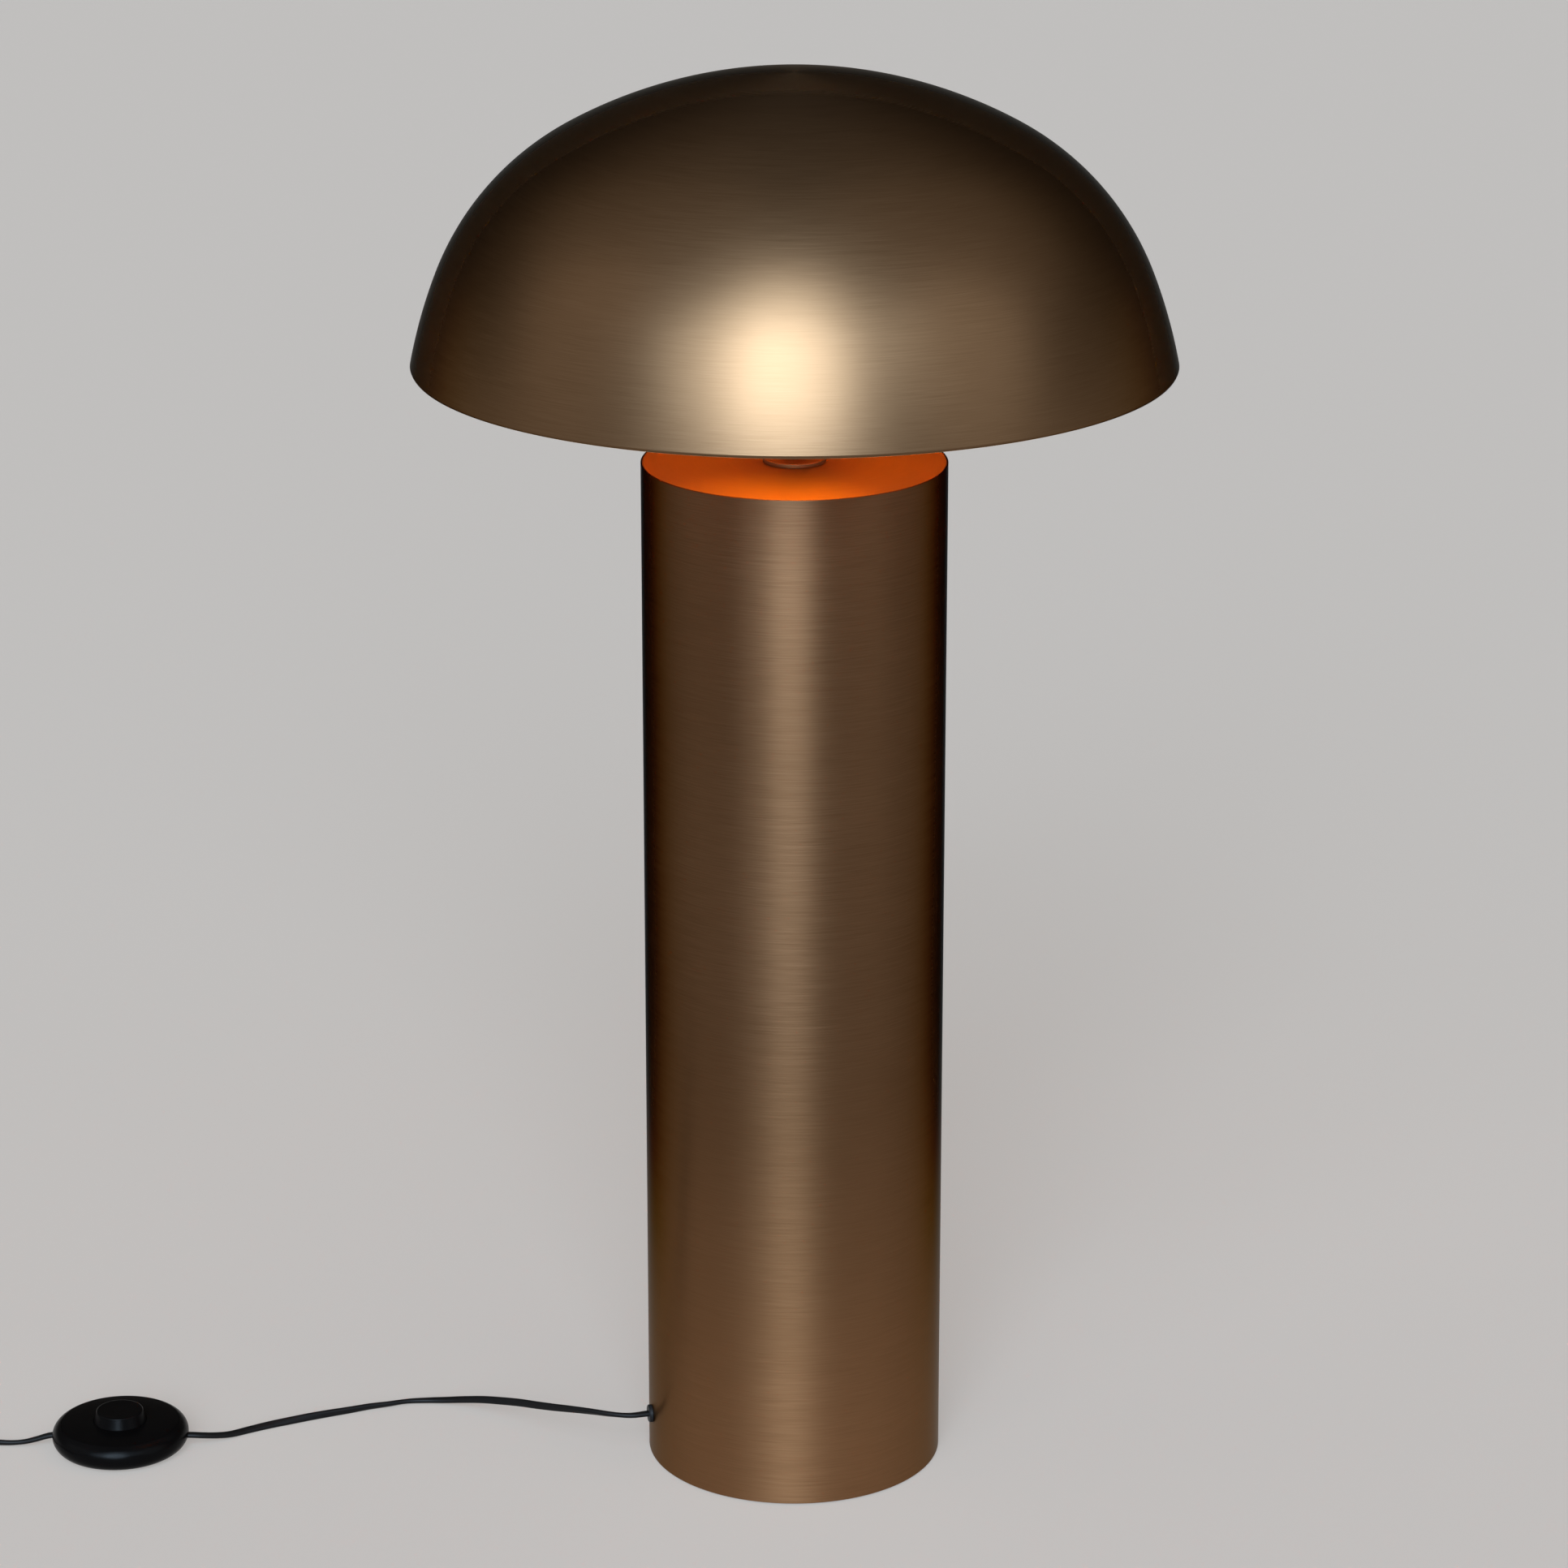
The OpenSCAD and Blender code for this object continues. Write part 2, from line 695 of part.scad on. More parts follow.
module side_contact() {
    out = shell_in_r + screw_shell_t + seat_gap;
    z = core_z + core_t;
    color("gold") rotate([0, 0, 90]) intersection() {
        ring(out + contact_t, out, z, z + shell_h / 2);
        translate([0, -contact_w / 2, z - cut]) cube([2 * out, contact_w, shell_h]);
    }
}

module terminal_screws() {
    color("silver") around([0, 180], terminal_r) difference() {
        rod(terminal_d / 2, core_z - terminal_low, core_z - terminal_low + terminal_h);
        translate([-terminal_d, -terminal_d / 10, core_z - terminal_low - cut])
            cube([2 * terminal_d, terminal_d / 5, cut + terminal_d / 4]);
    }
}

module shade_ring() {
    low = seat_z + spider_t + seat_gap;
    color("black") difference() {
        ring(ring_out_r, holder_r + seat_gap, low, low + ring_h);
        for (i = [0:knurl_count - 1]) rotate([0, 0, 360 * i / knurl_count])
            translate([ring_out_r + knurl_r / 3, 0, low + edge_r])
                cylinder(r = knurl_r, h = ring_h + cut, $fn = 12);
    }
}

// Shade

// Direction in the half section that leans outwards from straight up by the slope a
function toward(a) = [sin(a), cos(a)];

// Points of an arc round c after its first, between two slopes, moved inwards by the distance inset
function arc(c, r, from, to, inset) = [for (i = [1:arc_steps]) let (a = from + (to - from) * i / arc_steps)
    c + (r - inset) * toward(a)];

// Half outline of the dome from its top down to the slope to, moved inwards by the distance inset
function dome_line(inset, to) = concat([[0, dome_top - inset]],
    arc([0, crown_z], crown_r, 0, crown_to, inset),
    arc([shoulder_x, shoulder_z], shoulder_r, crown_to, shoulder_to, inset),
    arc([side_x, side_z], side_r, shoulder_to, to, inset));

// The sheet runs down the outside, curls inwards round the bead and meets its own inside again.
module dome_shade() {
    bead = [rim_x - bead_r - bead_step, rim_z];
    meet = acos(((bead_r + bead_step) * sin(side_to) - dome_wall) / bead_r);
    last = 360 + side_to - meet;
    curl = [for (i = [0:arc_steps - 1]) bead + bead_r * toward(90 + (last - 90) * i / arc_steps)];
    inner_to = acos((rim_z + bead_r * cos(last) - side_z) / (side_r - dome_wall));
    inside = dome_line(dome_wall, inner_to);
    color("darkgoldenrod") rotate_extrude($fn = 180)
        polygon(concat(dome_line(0, side_to), curl, [for (i = [len(inside) - 1:-1:0]) inside[i]]));
}

// Radius of the dome's inner wall at height z on its lower side
function wall_at(z) = side_x + sqrt((side_r - dome_wall) * (side_r - dome_wall) - (z - side_z) * (z - side_z));

module spider() {
    foot = seat_z + seat_gap / 2;
    tip = rim_z + tab_up;
    reach = wall_at(tip) - spider_t - seat_gap;
    color("goldenrod") difference() {
        union() {
            ring(ring_out_r, ring_in_r, foot, foot + spider_t - seat_gap / 2);
            for (a = arm_az) rotate([0, 0, a]) {
                translate([0, arm_w / 2, 0]) rotate([90, 0, 0]) linear_extrude(arm_w)
                    polygon([[ring_out_r - shoulder_out / 3, foot], [ring_out_r + shoulder_out, foot],
                        [reach, tip], [reach, tip + spider_t], [ring_out_r + shoulder_out, foot + spider_t],
                        [ring_out_r - shoulder_out / 3, foot + spider_t]]);
                intersection() {
                    rotate_extrude($fn = 180) difference() {
                        translate([side_x, side_z]) circle(side_r - dome_wall - seat_gap, $fn = 360);
                        translate([side_x, side_z]) circle(side_r - dome_wall - seat_gap - spider_t, $fn = 360);
                        translate([side_x - side_r, side_z - side_r])
                            square([side_r - side_x + rim_x / 2, 2 * side_r]);
                    }
                    translate([rim_x / 2, -arm_w / 2, tip]) cube([rim_x, arm_w, tab_h]);
                }
            }
        }
        rod(ring_in_r, foot - cut, foot + spider_t + cut);
    }
}

// Bulb

module bulb_half(inset) {
    ball = bulb_r - inset;
    waist = [ball * sin(waist_to), ball_z - ball * cos(waist_to)];
    union() {
        translate([0, ball_z]) circle(ball, $fn = 120);
        polygon([[0, ball_z], [0, neck_z], [neck_r - inset, neck_z],
            [neck_r - inset, waist[1] - (waist[0] - neck_r + inset) * tan(waist_to)],
            waist]);
    }
}

module bulb_glass() {
    color("orange", 0.5) rotate_extrude() intersection() {
        difference() {
            bulb_half(0);
            bulb_half(glass_t);
        }
        translate([0, neck_z]) square([bulb_d, bulb_l]);
    }
}

module bulb_cap() {
    r = thread_r;
    w = cap_wall;
    collar_r = neck_r + glue_gap;
    color("silver") rotate_extrude() polygon([[r - w - cap_lead_r, cap_bottom], [r - cap_lead_r, cap_bottom],
        [r, cap_bottom + cap_lead_h], [r, cap_top - cap_cone_h], [collar_r + w, cap_top],
        [collar_r, cap_top + w], [collar_r, cap_top], [r - w, cap_top - cap_cone_h - w],
        [r - w, cap_bottom + cap_lead_h]]);
}

module bulb_insulator() {
    r = thread_r - insulator_back;
    color("black") rotate_extrude() polygon([[0, bulb_z + tip_h], [tip_base_r, bulb_z + tip_h],
        [r, cap_bottom - seat_gap], [r, cap_bottom + insulator_in], [0, cap_bottom + insulator_in]]);
}

module bulb_contact() {
    top = bulb_z + tip_h - seat_gap;
    color("silver") rotate_extrude() polygon([[0, bulb_z], [tip_r, bulb_z], [tip_base_r, top], [0, top]]);
}

module bulb_stem() {
    color("white") union() {
        rod(stem_glass_r, cap_bottom + insulator_in + seat_gap, neck_z + filament_up);
        rod(neck_r - glass_t - seat_gap, neck_z, neck_z + glass_t);
        translate([0, 0, neck_z]) cylinder(r1 = neck_r / 2, r2 = stem_glass_r, h = filament_up * flare_share);
        rod(stem_glass_r / 2, neck_z, neck_z + filament_up + filament_l + filament_r);
    }
}

module bulb_filaments() {
    low = neck_z + filament_up;
    high = low + filament_l * cos(filament_lean);
    top_ring = filament_ring + filament_l * sin(filament_lean);
    color("orange") for (i = [1:filament_count]) rotate([0, 0, 360 * (i - 0.5) / filament_count]) union() {
        translate([filament_ring, 0, low]) rotate([0, filament_lean, 0])
            cylinder(r = filament_r, h = filament_l);
        translate([stem_glass_r + seat_gap, 0, low - filament_r]) rotate([0, 90, 0])
            cylinder(r = support_r, h = filament_ring - stem_glass_r);
        translate([stem_glass_r / 2 + seat_gap, 0, high]) rotate([0, 90, 0])
            cylinder(r = support_r, h = top_ring - stem_glass_r / 2);
    }
}

// Foot switch

// Half section of the closed switch housing moved inwards by the distance inset
module housing_half(inset) {
    translate([0, base_z + inset]) square([nose_x, 2 * (nose_r - inset)]);
    translate([nose_x, nose_z]) circle(nose_r - inset);
}

module switch_base() {
    color("black") at_switch() difference() {
        union() {
            rotate_extrude($fn = 128) difference() {
                intersection() {
                    housing_half(0);
                    square([switch_d, switch_d]);
                }
                housing_half(shell_t);
                translate([0, nose_z + shell_t]) square([seam_r, nose_r]);
            }
            around(cover_screw_az, boss_at) rod(boss_r, floor_z - cut / 2, under_z - peg_h - seat_gap);
            for (s = [-1, 1]) translate([s * clamp_at - clamp_l / 2, -clamp_w / 2, floor_z - cut / 2])
                cube([clamp_l, clamp_w, flex_z - flex_t / 2 - floor_z + cut / 2 - seat_gap]);
            rod(pin_r, floor_z - cut / 2, plunger_z - pin_short);
            rod(pin_r * 2, floor_z - cut / 2, wiper_z - seat_gap);
        }
        around(cover_screw_az, boss_at) {
            rod(cover_screw_r + seat_gap, base_z - cut, under_z);
            rod(cover_screw_head_r + seat_gap, base_z - cut, base_z + cover_screw_head_h);
        }
        around(feet_az, feet_at) rod(feet_r + seat_gap, base_z - cut, base_z + feet_pocket);
        for (s = [-1, 1]) {
            translate([s * nose_x, 0, flex_z]) rotate([0, 90, 0])
                translate([0, 0, -nose_r - cut]) flex_slot(0, 2 * nose_r + 2 * cut, flex_hole_gap);
            for (y = [-1, 1]) translate([s * clamp_at, y * clamp_screw_y, 0])
                rod(clamp_screw_r + seat_gap, floor_z, flex_z);
        }
    }
}

module switch_cover() {
    edge = seam_r - slide_gap;
    hole = guide_r;
    rise = cover_top - seam_z;
    run = edge - hole;
    dome = (run * run + rise * rise) / (2 * rise);
    color("black") at_switch() union() {
        rotate_extrude($fn = 128) difference() {
            translate([hole, under_z]) square([run, cover_top - under_z]);
            difference() {
                translate([hole - cut, seam_z]) square([run + 2 * cut, 2 * rise]);
                translate([hole, cover_top - dome]) circle(dome, $fn = 360);
            }
        }
        ring(guide_r + guide_t, guide_r, under_z - guide_h, under_z + shell_t / 2);
        around(cover_screw_az, boss_at) ring(peg_r, cover_screw_r, under_z - peg_h, under_z + shell_t / 2);
    }
}

module switch_button() {
    low = flange_top - flange_t;
    color("black") at_switch() union() {
        rotate_extrude($fn = 128) difference() {
            union() {
                polygon([[0, low], [skirt_r, low], [skirt_r, cover_top], [button_r, button_top - button_edge],
                    [button_r - button_edge, button_top - button_edge], [button_r - button_edge, button_top],
                    [0, button_top]]);
                translate([button_r - button_edge, button_top - button_edge]) circle(button_edge, $fn = 24);
                translate([0, low]) square([flange_r, flange_t]);
            }
            polygon([[0, low - cut], [skirt_r - skirt_t, low - cut], [skirt_r - skirt_t, cover_top],
                [button_r - skirt_t, button_top - button_wall], [0, button_top - button_wall]]);
        }
        ring(plunger_out, plunger_in, plunger_z, button_top - button_wall / 2);
        for (k = [0:ramp_count - 1]) rotate([0, 0, k * 360 / ramp_count])
            ramp(ramp_a - tooth_a, ramp_a, ramp_z + slide_gap, plunger_z + seat_gap, true);
    }
}

// A helical step between two angles. Its sloping face starts at z0 and rises by ramp_h over ramp_a; the flat
// face lies at flat, below it on a ramp and above it on a tooth.
module ramp(a0, a1, z0, flat, tooth) {
    steps = 4;
    column = [for (i = [0:steps]) let (a = a0 + (a1 - a0) * i / steps, z = z0 + ramp_h * a / ramp_a)
        each [[ramp_in * cos(a), ramp_in * sin(a), tooth ? z : flat],
              [ramp_out * cos(a), ramp_out * sin(a), tooth ? z : flat],
              [ramp_out * cos(a), ramp_out * sin(a), tooth ? flat : z],
              [ramp_in * cos(a), ramp_in * sin(a), tooth ? flat : z]]];
    walls = [for (i = [0:steps - 1], j = [0:3]) let (k = (j + 1) % 4, b = i * 4)
        each [[b + j, b + k, b + 4 + j], [b + k, b + 4 + k, b + 4 + j]]];
    polyhedron(column, concat(walls, [[0, 2, 1], [0, 3, 2]],
        [let (b = steps * 4) [b, b + 1, b + 2], let (b = steps * 4) [b, b + 2, b + 3]]));
}

module button_spring() {
    low = cup_top + cup_top_t + spring_wire / 2 + seat_gap;
    high = button_top - button_wall - spring_wire / 2 - seat_gap;
    last = spring_curls * spring_rings;
    points = [for (i = [0:last]) let (a = 360 * i / spring_rings)
        [spring_r * cos(a), spring_r * sin(a), low + (high - low) * i / last, 0]];
    color("silver") at_switch() swept(points, wire(6, spring_wire / 2));
}

module mechanism_cup() {
    color("ivory") at_switch() difference() {
        union() {
            ring(cup_out, cup_out - cup_t, cup_z, cup_top + cup_top_t);
            ring(cup_out - cup_t / 2, plunger_out + slide_gap, cup_top, cup_top + cup_top_t);
        }
        for (s = [0, 180]) rotate([0, 0, s + 90]) translate([0, -strip_w / 2 - slide_gap, cup_z - cut])
            cube([cup_out + cut, strip_w + 2 * slide_gap, cut + contact_h + slide_gap]);
    }
}

module ratchet_rotor() {
    color("ivory") at_switch() difference() {
        union() {
            rod(disc_r, disc_z, ramp_z);
            for (k = [0:ramp_count - 1]) rotate([0, 0, k * 360 / ramp_count])
                ramp(0, ramp_a, ramp_z, ramp_z - disc_h / 2, false);
        }
        rod(pin_r + run_gap, disc_z - cut, ramp_z + ramp_h + cut);
    }
}

module contact_wiper() {
    color("gold") at_switch() difference() {
        union() {
            rod(disc_r, wiper_z, disc_z);
            intersection() {
                translate([-wiper_w / 2, -wiper_r, wiper_z]) cube([wiper_w, 2 * wiper_r, wiper_t]);
                rod(wiper_r, wiper_z - cut, disc_z + cut);
            }
        }
        rod(pin_r + run_gap, wiper_z - cut, disc_z + cut);
    }
}

module fixed_contacts() {
    z = floor_z + seat_gap;
    color("gold") at_switch() for (s = [90, 270]) rotate([0, 0, s]) difference() {
        union() {
            translate([strip_in, -strip_w / 2, z]) cube([strip_out - strip_in, strip_w, contact_h]);
            translate([block_at - block_w / 2, -block_w / 2, z]) cube([block_w, block_w, block_h]);
        }
        translate([block_at, 0, 0]) rod(block_screw_r + seat_gap, z - cut, z + block_h + cut);
        translate([block_at - block_w / 2 - cut, 0, z + block_h / 2]) rotate([0, 90, 0])
            cylinder(r = core_wire_r + slide_gap, h = block_w / 2 + cut);
    }
}

module switch_terminal_screws() {
    z = floor_z + seat_gap + block_h + seat_gap;
    color("silver") at_switch() around([90, 270], block_at) difference() {
        union() {
            rod(block_screw_r, z - block_h / 2 + core_wire_r, z + seat_gap);
            rod(block_head_r, z, z + block_head_h);
        }
        translate([-block_head_r, -block_head_r / 8, z + block_head_h / 2])
            cube([2 * block_head_r, block_head_r / 4, block_head_h]);
    }
}

// Inside the switch the live core goes to the two terminals and the neutral core runs straight through.
module switch_cores() {
    half = (flex_w - flex_t) / 2;
    sheath = [flex_in, 0, flex_z];
    level = [0, 0, core_level];
    section = wire(8, core_wire_r - seat_gap);
    live = concat([sheath + [0, half, 0], sheath + [-live_start[0], half + live_start[1], live_start[2]]],
        [for (p = live_route) p + level]);
    neutral = concat(
        [sheath - [0, half, 0], sheath + [-neutral_start[0], neutral_start[1] - half, neutral_start[2]],
         neutral_in + level],
        [for (a = [-28:-12:-152]) [core_ring * cos(a), core_ring * sin(a), core_level]],
        [neutral_out + level, [neutral_end[0] - flex_in, half + neutral_end[1], flex_z + neutral_end[2]],
         [-flex_in, half, flex_z]]);
    at_switch() {
        color("brown") swept([for (p = live) [p[0], p[1], p[2], 0]], section, [0, 0, 1], [-1, 0, 0]);
        color("brown") swept([for (p = live) [-p[0], -p[1], p[2], 0]], section, [0, 0, 1], [1, 0, 0]);
        color("lightblue") swept([for (p = neutral) [p[0], p[1], p[2], 0]], section, [0, 0, 1],
            [-1, 0, 0], [-1, 0, 0]);
    }
}

module cord_clamps() {
    z = flex_z + flex_t / 2 + seat_gap;
    color("ivory") at_switch() for (s = [-1, 1]) difference() {
        translate([s * clamp_at - clamp_l / 2, -clamp_w / 2, z]) cube([clamp_l, clamp_w, clamp_t]);
        for (y = [-1, 1]) translate([s * clamp_at, y * clamp_screw_y, 0])
            rod(clamp_screw_r + seat_gap, z - cut, z + clamp_t + cut);
    }
}

module clamp_screws() {
    z = flex_z + flex_t / 2 + clamp_t + 2 * seat_gap;
    color("silver") at_switch() for (s = [-1, 1], y = [-1, 1])
        translate([s * clamp_at, y * clamp_screw_y, 0]) difference() {
            union() {
                rod(clamp_screw_r, floor_z + clamp_screw_low, z + seat_gap);
                rod(clamp_head_r, z, z + clamp_head_h);
            }
            translate([-clamp_head_r, -clamp_head_r / 8, z + clamp_head_h / 2])
                cube([2 * clamp_head_r, clamp_head_r / 4, clamp_head_h]);
        }
}

module cover_screws() {
    z = base_z + cover_screw_head_h - seat_gap;
    color("silver") at_switch() around(cover_screw_az, boss_at) difference() {
        union() {
            rod(cover_screw_head_r, base_z + seat_gap, z);
            rod(cover_screw_r - seat_gap, z - seat_gap, under_z - seat_gap);
        }
        translate([-cover_screw_head_r, -cover_screw_head_r / 8, base_z - cut])
            cube([2 * cover_screw_head_r, cover_screw_head_r / 4, cut + cover_screw_head_h / 2]);
    }
}

module switch_feet() {
    color("black") at_switch() around(feet_az, feet_at) rod(feet_r, 0, feet_h - seat_gap / 2);
}

// Flex, coil and plug

module cord_lamp_run() {
    a = bush_az;
    out = body_r + bush_flange_t;
    points = concat([[out * cos(a), out * sin(a), bush_z, 0]], lamp_route,
        [[switch_x + switch_r, switch_y, flex_z, 360], [switch_x + flex_in, switch_y, flex_z, 360]]);
    color("black") swept(points, oval(run_sides, flex_w, flex_t), [0, 0, 1], [cos(a), sin(a), 0], [-1, 0, 0]);
}

module cord_plug_run() {
    points = concat([[switch_x - flex_in, switch_y, flex_z, 0], [switch_x - switch_r, switch_y, flex_z, 0]],
        plug_route, [[coil_x + flex_w, coil_y + coil_out, coil_z, 90]]);
    color("black") swept(points, oval(run_sides, flex_w, flex_t), [0, 0, 1], [-1, 0, 0], [-1, 0, 0]);
}

// The coil: the lower layer spirals in, climbs half a turn in the middle, and the upper layer spirals out.
function climb(d) = let (s = min(1, max(0, 2 * d + 0.5))) s * s * (3 - 2 * s);
function coil_point(u) = let (mid = coil_turns / 2, r = coil_r + coil_pitch * abs(u - mid), a = 90 + 360 * u)
    [coil_x + r * cos(a), coil_y + r * sin(a), coil_z + coil_climb * climb(u - mid), 90];
coil_steps = coil_turns * loop_rings;
coil_points = concat([[coil_x + flex_w, coil_y + coil_out, coil_z, 90]],
    [for (i = [0:coil_steps]) coil_point(i / loop_rings)],
    [[coil_x - coil_out, coil_y - flex_w, coil_z + coil_climb, 90]]);
function coil_gap(p, q) = let (d = p - q)
    norm([d[0], d[1], max(0, abs(d[2]) - (flex_w - flex_t))]) - flex_t;
least_coil_gap = min([for (i = [0:len(coil_points) - 1], j = [i + loop_rings / 2:len(coil_points) - 1])
    coil_gap(coil_points[i], coil_points[j])]);
echo(least_coil_gap = least_coil_gap);

module cord_coil() {
    color("black") swept(coil_points, oval(loop_sides, flex_w, flex_t), [0, 0, 1], [-1, 0, 0], [0, -1, 0]);
}

module coil_tie() {
    inner = coil_r - flex_t / 2 - slide_gap;
    outer = coil_out + flex_t / 2 + slide_gap;
    low = coil_z - flex_w / 2 - slide_gap / 2;
    high = coil_z + coil_climb + flex_w / 2 + slide_gap / 2;
    color("dimgray") translate([coil_x, coil_y, 0]) rotate([0, 0, tie_az]) difference() {
        translate([inner - tie_t, -tie_w / 2, low - tie_t])
            cube([outer - inner + 2 * tie_t, tie_w, high - low + 2 * tie_t]);
        translate([inner, -tie_w / 2 - cut, low]) cube([outer - inner, tie_w + 2 * cut, high - low]);
    }
}

module cord_end_run() {
    points = concat([[end_x, end_y, end_z, 90]],
        [for (p = end_route) [end_x + p[0], end_y + p[1] + flex_w, end_z + p[2], p[3]]],
        [[end_x, plug_y, plug_z, 0]]);
    color("black") swept(points, oval(run_sides, flex_w, flex_t), [0, 0, 1], [0, -1, 0], [0, -1, 0]);
}

// The plug lies flat: its pins point to -Y
module plug_frame() {
    translate([end_x, plug_y, plug_z]) rotate([90, 0, 0]) children();
}

module plug_body() {
    w = plug_w / 2;
    h = plug_h / 2;
    tail = [plug_tail_w / 2, plug_tail_h / 2];
    nose = w * plug_nose_share;
    front = w * plug_front_share;
    swell = [for (share = plug_slope_shares) plug_tail_l * share];
    color("black") plug_frame() intersection() {
        rotate([90, 0, 0]) translate([0, 0, -plug_h]) linear_extrude(2 * plug_h)
            polygon([[-tail[0], 0], [tail[0], 0], [tail[0], plug_tail_l], [w, plug_tail_l + w - tail[0]],
                [front, plug_l], [-front, plug_l], [-w, plug_tail_l + w - tail[0]], [-tail[0], plug_tail_l]]);
        rotate([90, 0, 90]) translate([0, 0, -plug_w]) linear_extrude(2 * plug_w)
            polygon([[-tail[1], 0], [tail[1], 0], [tail[1], swell[0]], [h, swell[1]], [h, plug_l],
                [-h, plug_l], [-h, swell[1]], [-tail[1], swell[0]]]);
        linear_extrude(plug_l) polygon([[-w, 0], [-nose, -h], [nose, -h], [w, 0], [nose, h], [-nose, h]]);
    }
}

module plug_pins() {
    color("silver") plug_frame() for (s = [-1, 1]) translate([s * pin_pitch / 2, 0, plug_l])
        rotate([0, -s * plug_pin_lean, 0]) translate([0, 0, sleeve_l]) union() {
            cylinder(d = pin_d, h = pin_l - sleeve_l - pin_d / 2);
            translate([0, 0, pin_l - sleeve_l - pin_d / 2]) sphere(d = pin_d);
        }
}

module pin_sleeves() {
    color("black") plug_frame() for (s = [-1, 1]) translate([s * pin_pitch / 2, 0, plug_l + seat_gap])
        rotate([0, -s * plug_pin_lean, 0]) cylinder(d = sleeve_d, h = sleeve_l - seat_gap);
}

body_tube();
top_plate();
ballast();
foot_ring();
tube_lugs();
ballast_screws();
cable_bush();
cord_clip();
clip_screw();
inner_lead();
collar();
stem_tube();
nipple();
plate_washer();
spring_washer();
nipple_nut();
holder_cap();
holder_body();
holder_core();
screw_shell();
centre_contact();
side_contact();
terminal_screws();
shade_ring();
dome_shade();
spider();
bulb_glass();
bulb_cap();
bulb_insulator();
bulb_contact();
bulb_stem();
bulb_filaments();
switch_base();
switch_cover();
switch_button();
button_spring();
mechanism_cup();
ratchet_rotor();
contact_wiper();
fixed_contacts();
switch_terminal_screws();
switch_cores();
cord_clamps();
clamp_screws();
cover_screws();
switch_feet();
cord_lamp_run();
cord_plug_run();
cord_coil();
coil_tie();
cord_end_run();
plug_body();
plug_pins();
pin_sleeves();
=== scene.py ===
# %% [markdown]
# # A brass mushroom floor lamp
# This file dresses the measured model of a floor lamp. The model gives every piece its size and its place,
# and it says what moves. The cells below add what the eye needs: turned shells with fine edges, brushed
# brass, moulded plastic, glass, a flex that lies on the floor, and light. Everything is in metres, with Z up,
# the front towards -Y and the floor at zero.

# %% Load the measured model
import bmesh
import bpy
import math
from mathutils import Matrix, Vector


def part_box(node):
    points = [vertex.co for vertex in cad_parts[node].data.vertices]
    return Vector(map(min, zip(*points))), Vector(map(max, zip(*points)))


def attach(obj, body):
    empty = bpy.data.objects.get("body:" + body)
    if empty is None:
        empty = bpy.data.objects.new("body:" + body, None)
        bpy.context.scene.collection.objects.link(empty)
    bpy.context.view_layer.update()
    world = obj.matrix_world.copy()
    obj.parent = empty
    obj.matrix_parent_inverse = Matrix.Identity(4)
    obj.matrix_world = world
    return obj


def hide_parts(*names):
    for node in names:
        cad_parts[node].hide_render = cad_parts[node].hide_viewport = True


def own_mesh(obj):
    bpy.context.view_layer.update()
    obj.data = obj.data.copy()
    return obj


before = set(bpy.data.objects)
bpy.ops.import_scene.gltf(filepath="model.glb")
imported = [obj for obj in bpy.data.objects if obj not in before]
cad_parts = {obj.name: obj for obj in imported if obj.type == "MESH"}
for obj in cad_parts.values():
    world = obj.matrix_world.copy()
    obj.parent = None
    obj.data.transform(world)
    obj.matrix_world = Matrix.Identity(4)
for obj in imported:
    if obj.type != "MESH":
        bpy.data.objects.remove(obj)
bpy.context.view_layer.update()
print("pieces in the model:", len(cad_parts))

# %% [markdown]
# The camera comes first, because the flex is laid out by what it sees. The photograph was taken with a long
# lens from about three metres, a little above the lamp and looking down. Only a long lens keeps a tall
# cylinder so nearly straight, so the focal length is long and the camera stands far back.

# %% Set the camera
PHOTO_LENS = 115.25            # millimetres, as is the sensor's width
PHOTO_PLACE = (-0.0068, -3.162, 1.521)
PHOTO_SENSOR = 36
PHOTO_PITCH = 18.24            # degrees below the horizon
SIGHT = 200                    # how far the camera sees, in metres


def placed(name, data):
    """A new object in the scene that shows the data."""
    thing = bpy.data.objects.new(name, data)
    bpy.context.scene.collection.objects.link(thing)
    return thing


camera_data = bpy.data.cameras.new("photo_camera")
camera_data.lens = PHOTO_LENS
camera_data.sensor_width = PHOTO_SENSOR
camera_data.clip_end = SIGHT
camera = placed("photo_camera", camera_data)
camera.location = PHOTO_PLACE
camera.rotation_euler = (math.radians(90 - PHOTO_PITCH), 0, 0)
bpy.context.scene.camera = camera
print("camera distance", round(math.hypot(*PHOTO_PLACE[:2]), 2))

# %% [markdown]
# Every new piece goes through the same last steps: its mesh gets a name, smooth shading that still breaks at
# real edges, a finish, the body that it moves with and the model's node that it stands for. One function does
# that, so no piece is left without one of them.

# %% A function that finishes a piece
EDGE_ANGLE = math.radians(32)


def finish_piece(bm, name, material, body="lamp", nodes=(), slot=None):
    """Turn a bmesh into a piece that rides on a body and stands for nodes of the model."""
    mesh = bpy.data.meshes.new(name)
    bm.to_mesh(mesh)
    bm.free()
    piece = placed(name, mesh)
    mesh.materials.append(material)
    mesh.shade_smooth()
    mesh.set_sharp_from_angle(angle=EDGE_ANGLE)
    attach(piece, body)
    if nodes:
        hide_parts(*nodes)
    return piece


print("edges over", round(math.degrees(EDGE_ANGLE)), "degrees stay sharp")

# %% [markdown]
# A material is a small network of nodes. The helpers here keep each recipe short: one makes the material with
# its shader, one adds a node and sets its inputs, and the others stretch, combine and mix what flows between
# the nodes. A value that is the same all over a surface is typed on the shader itself.

# %% Helpers for materials
FIRST_COLOUR, SECOND_COLOUR, MIXED_COLOUR = 6, 7, 2     # a mix node's sockets for colours


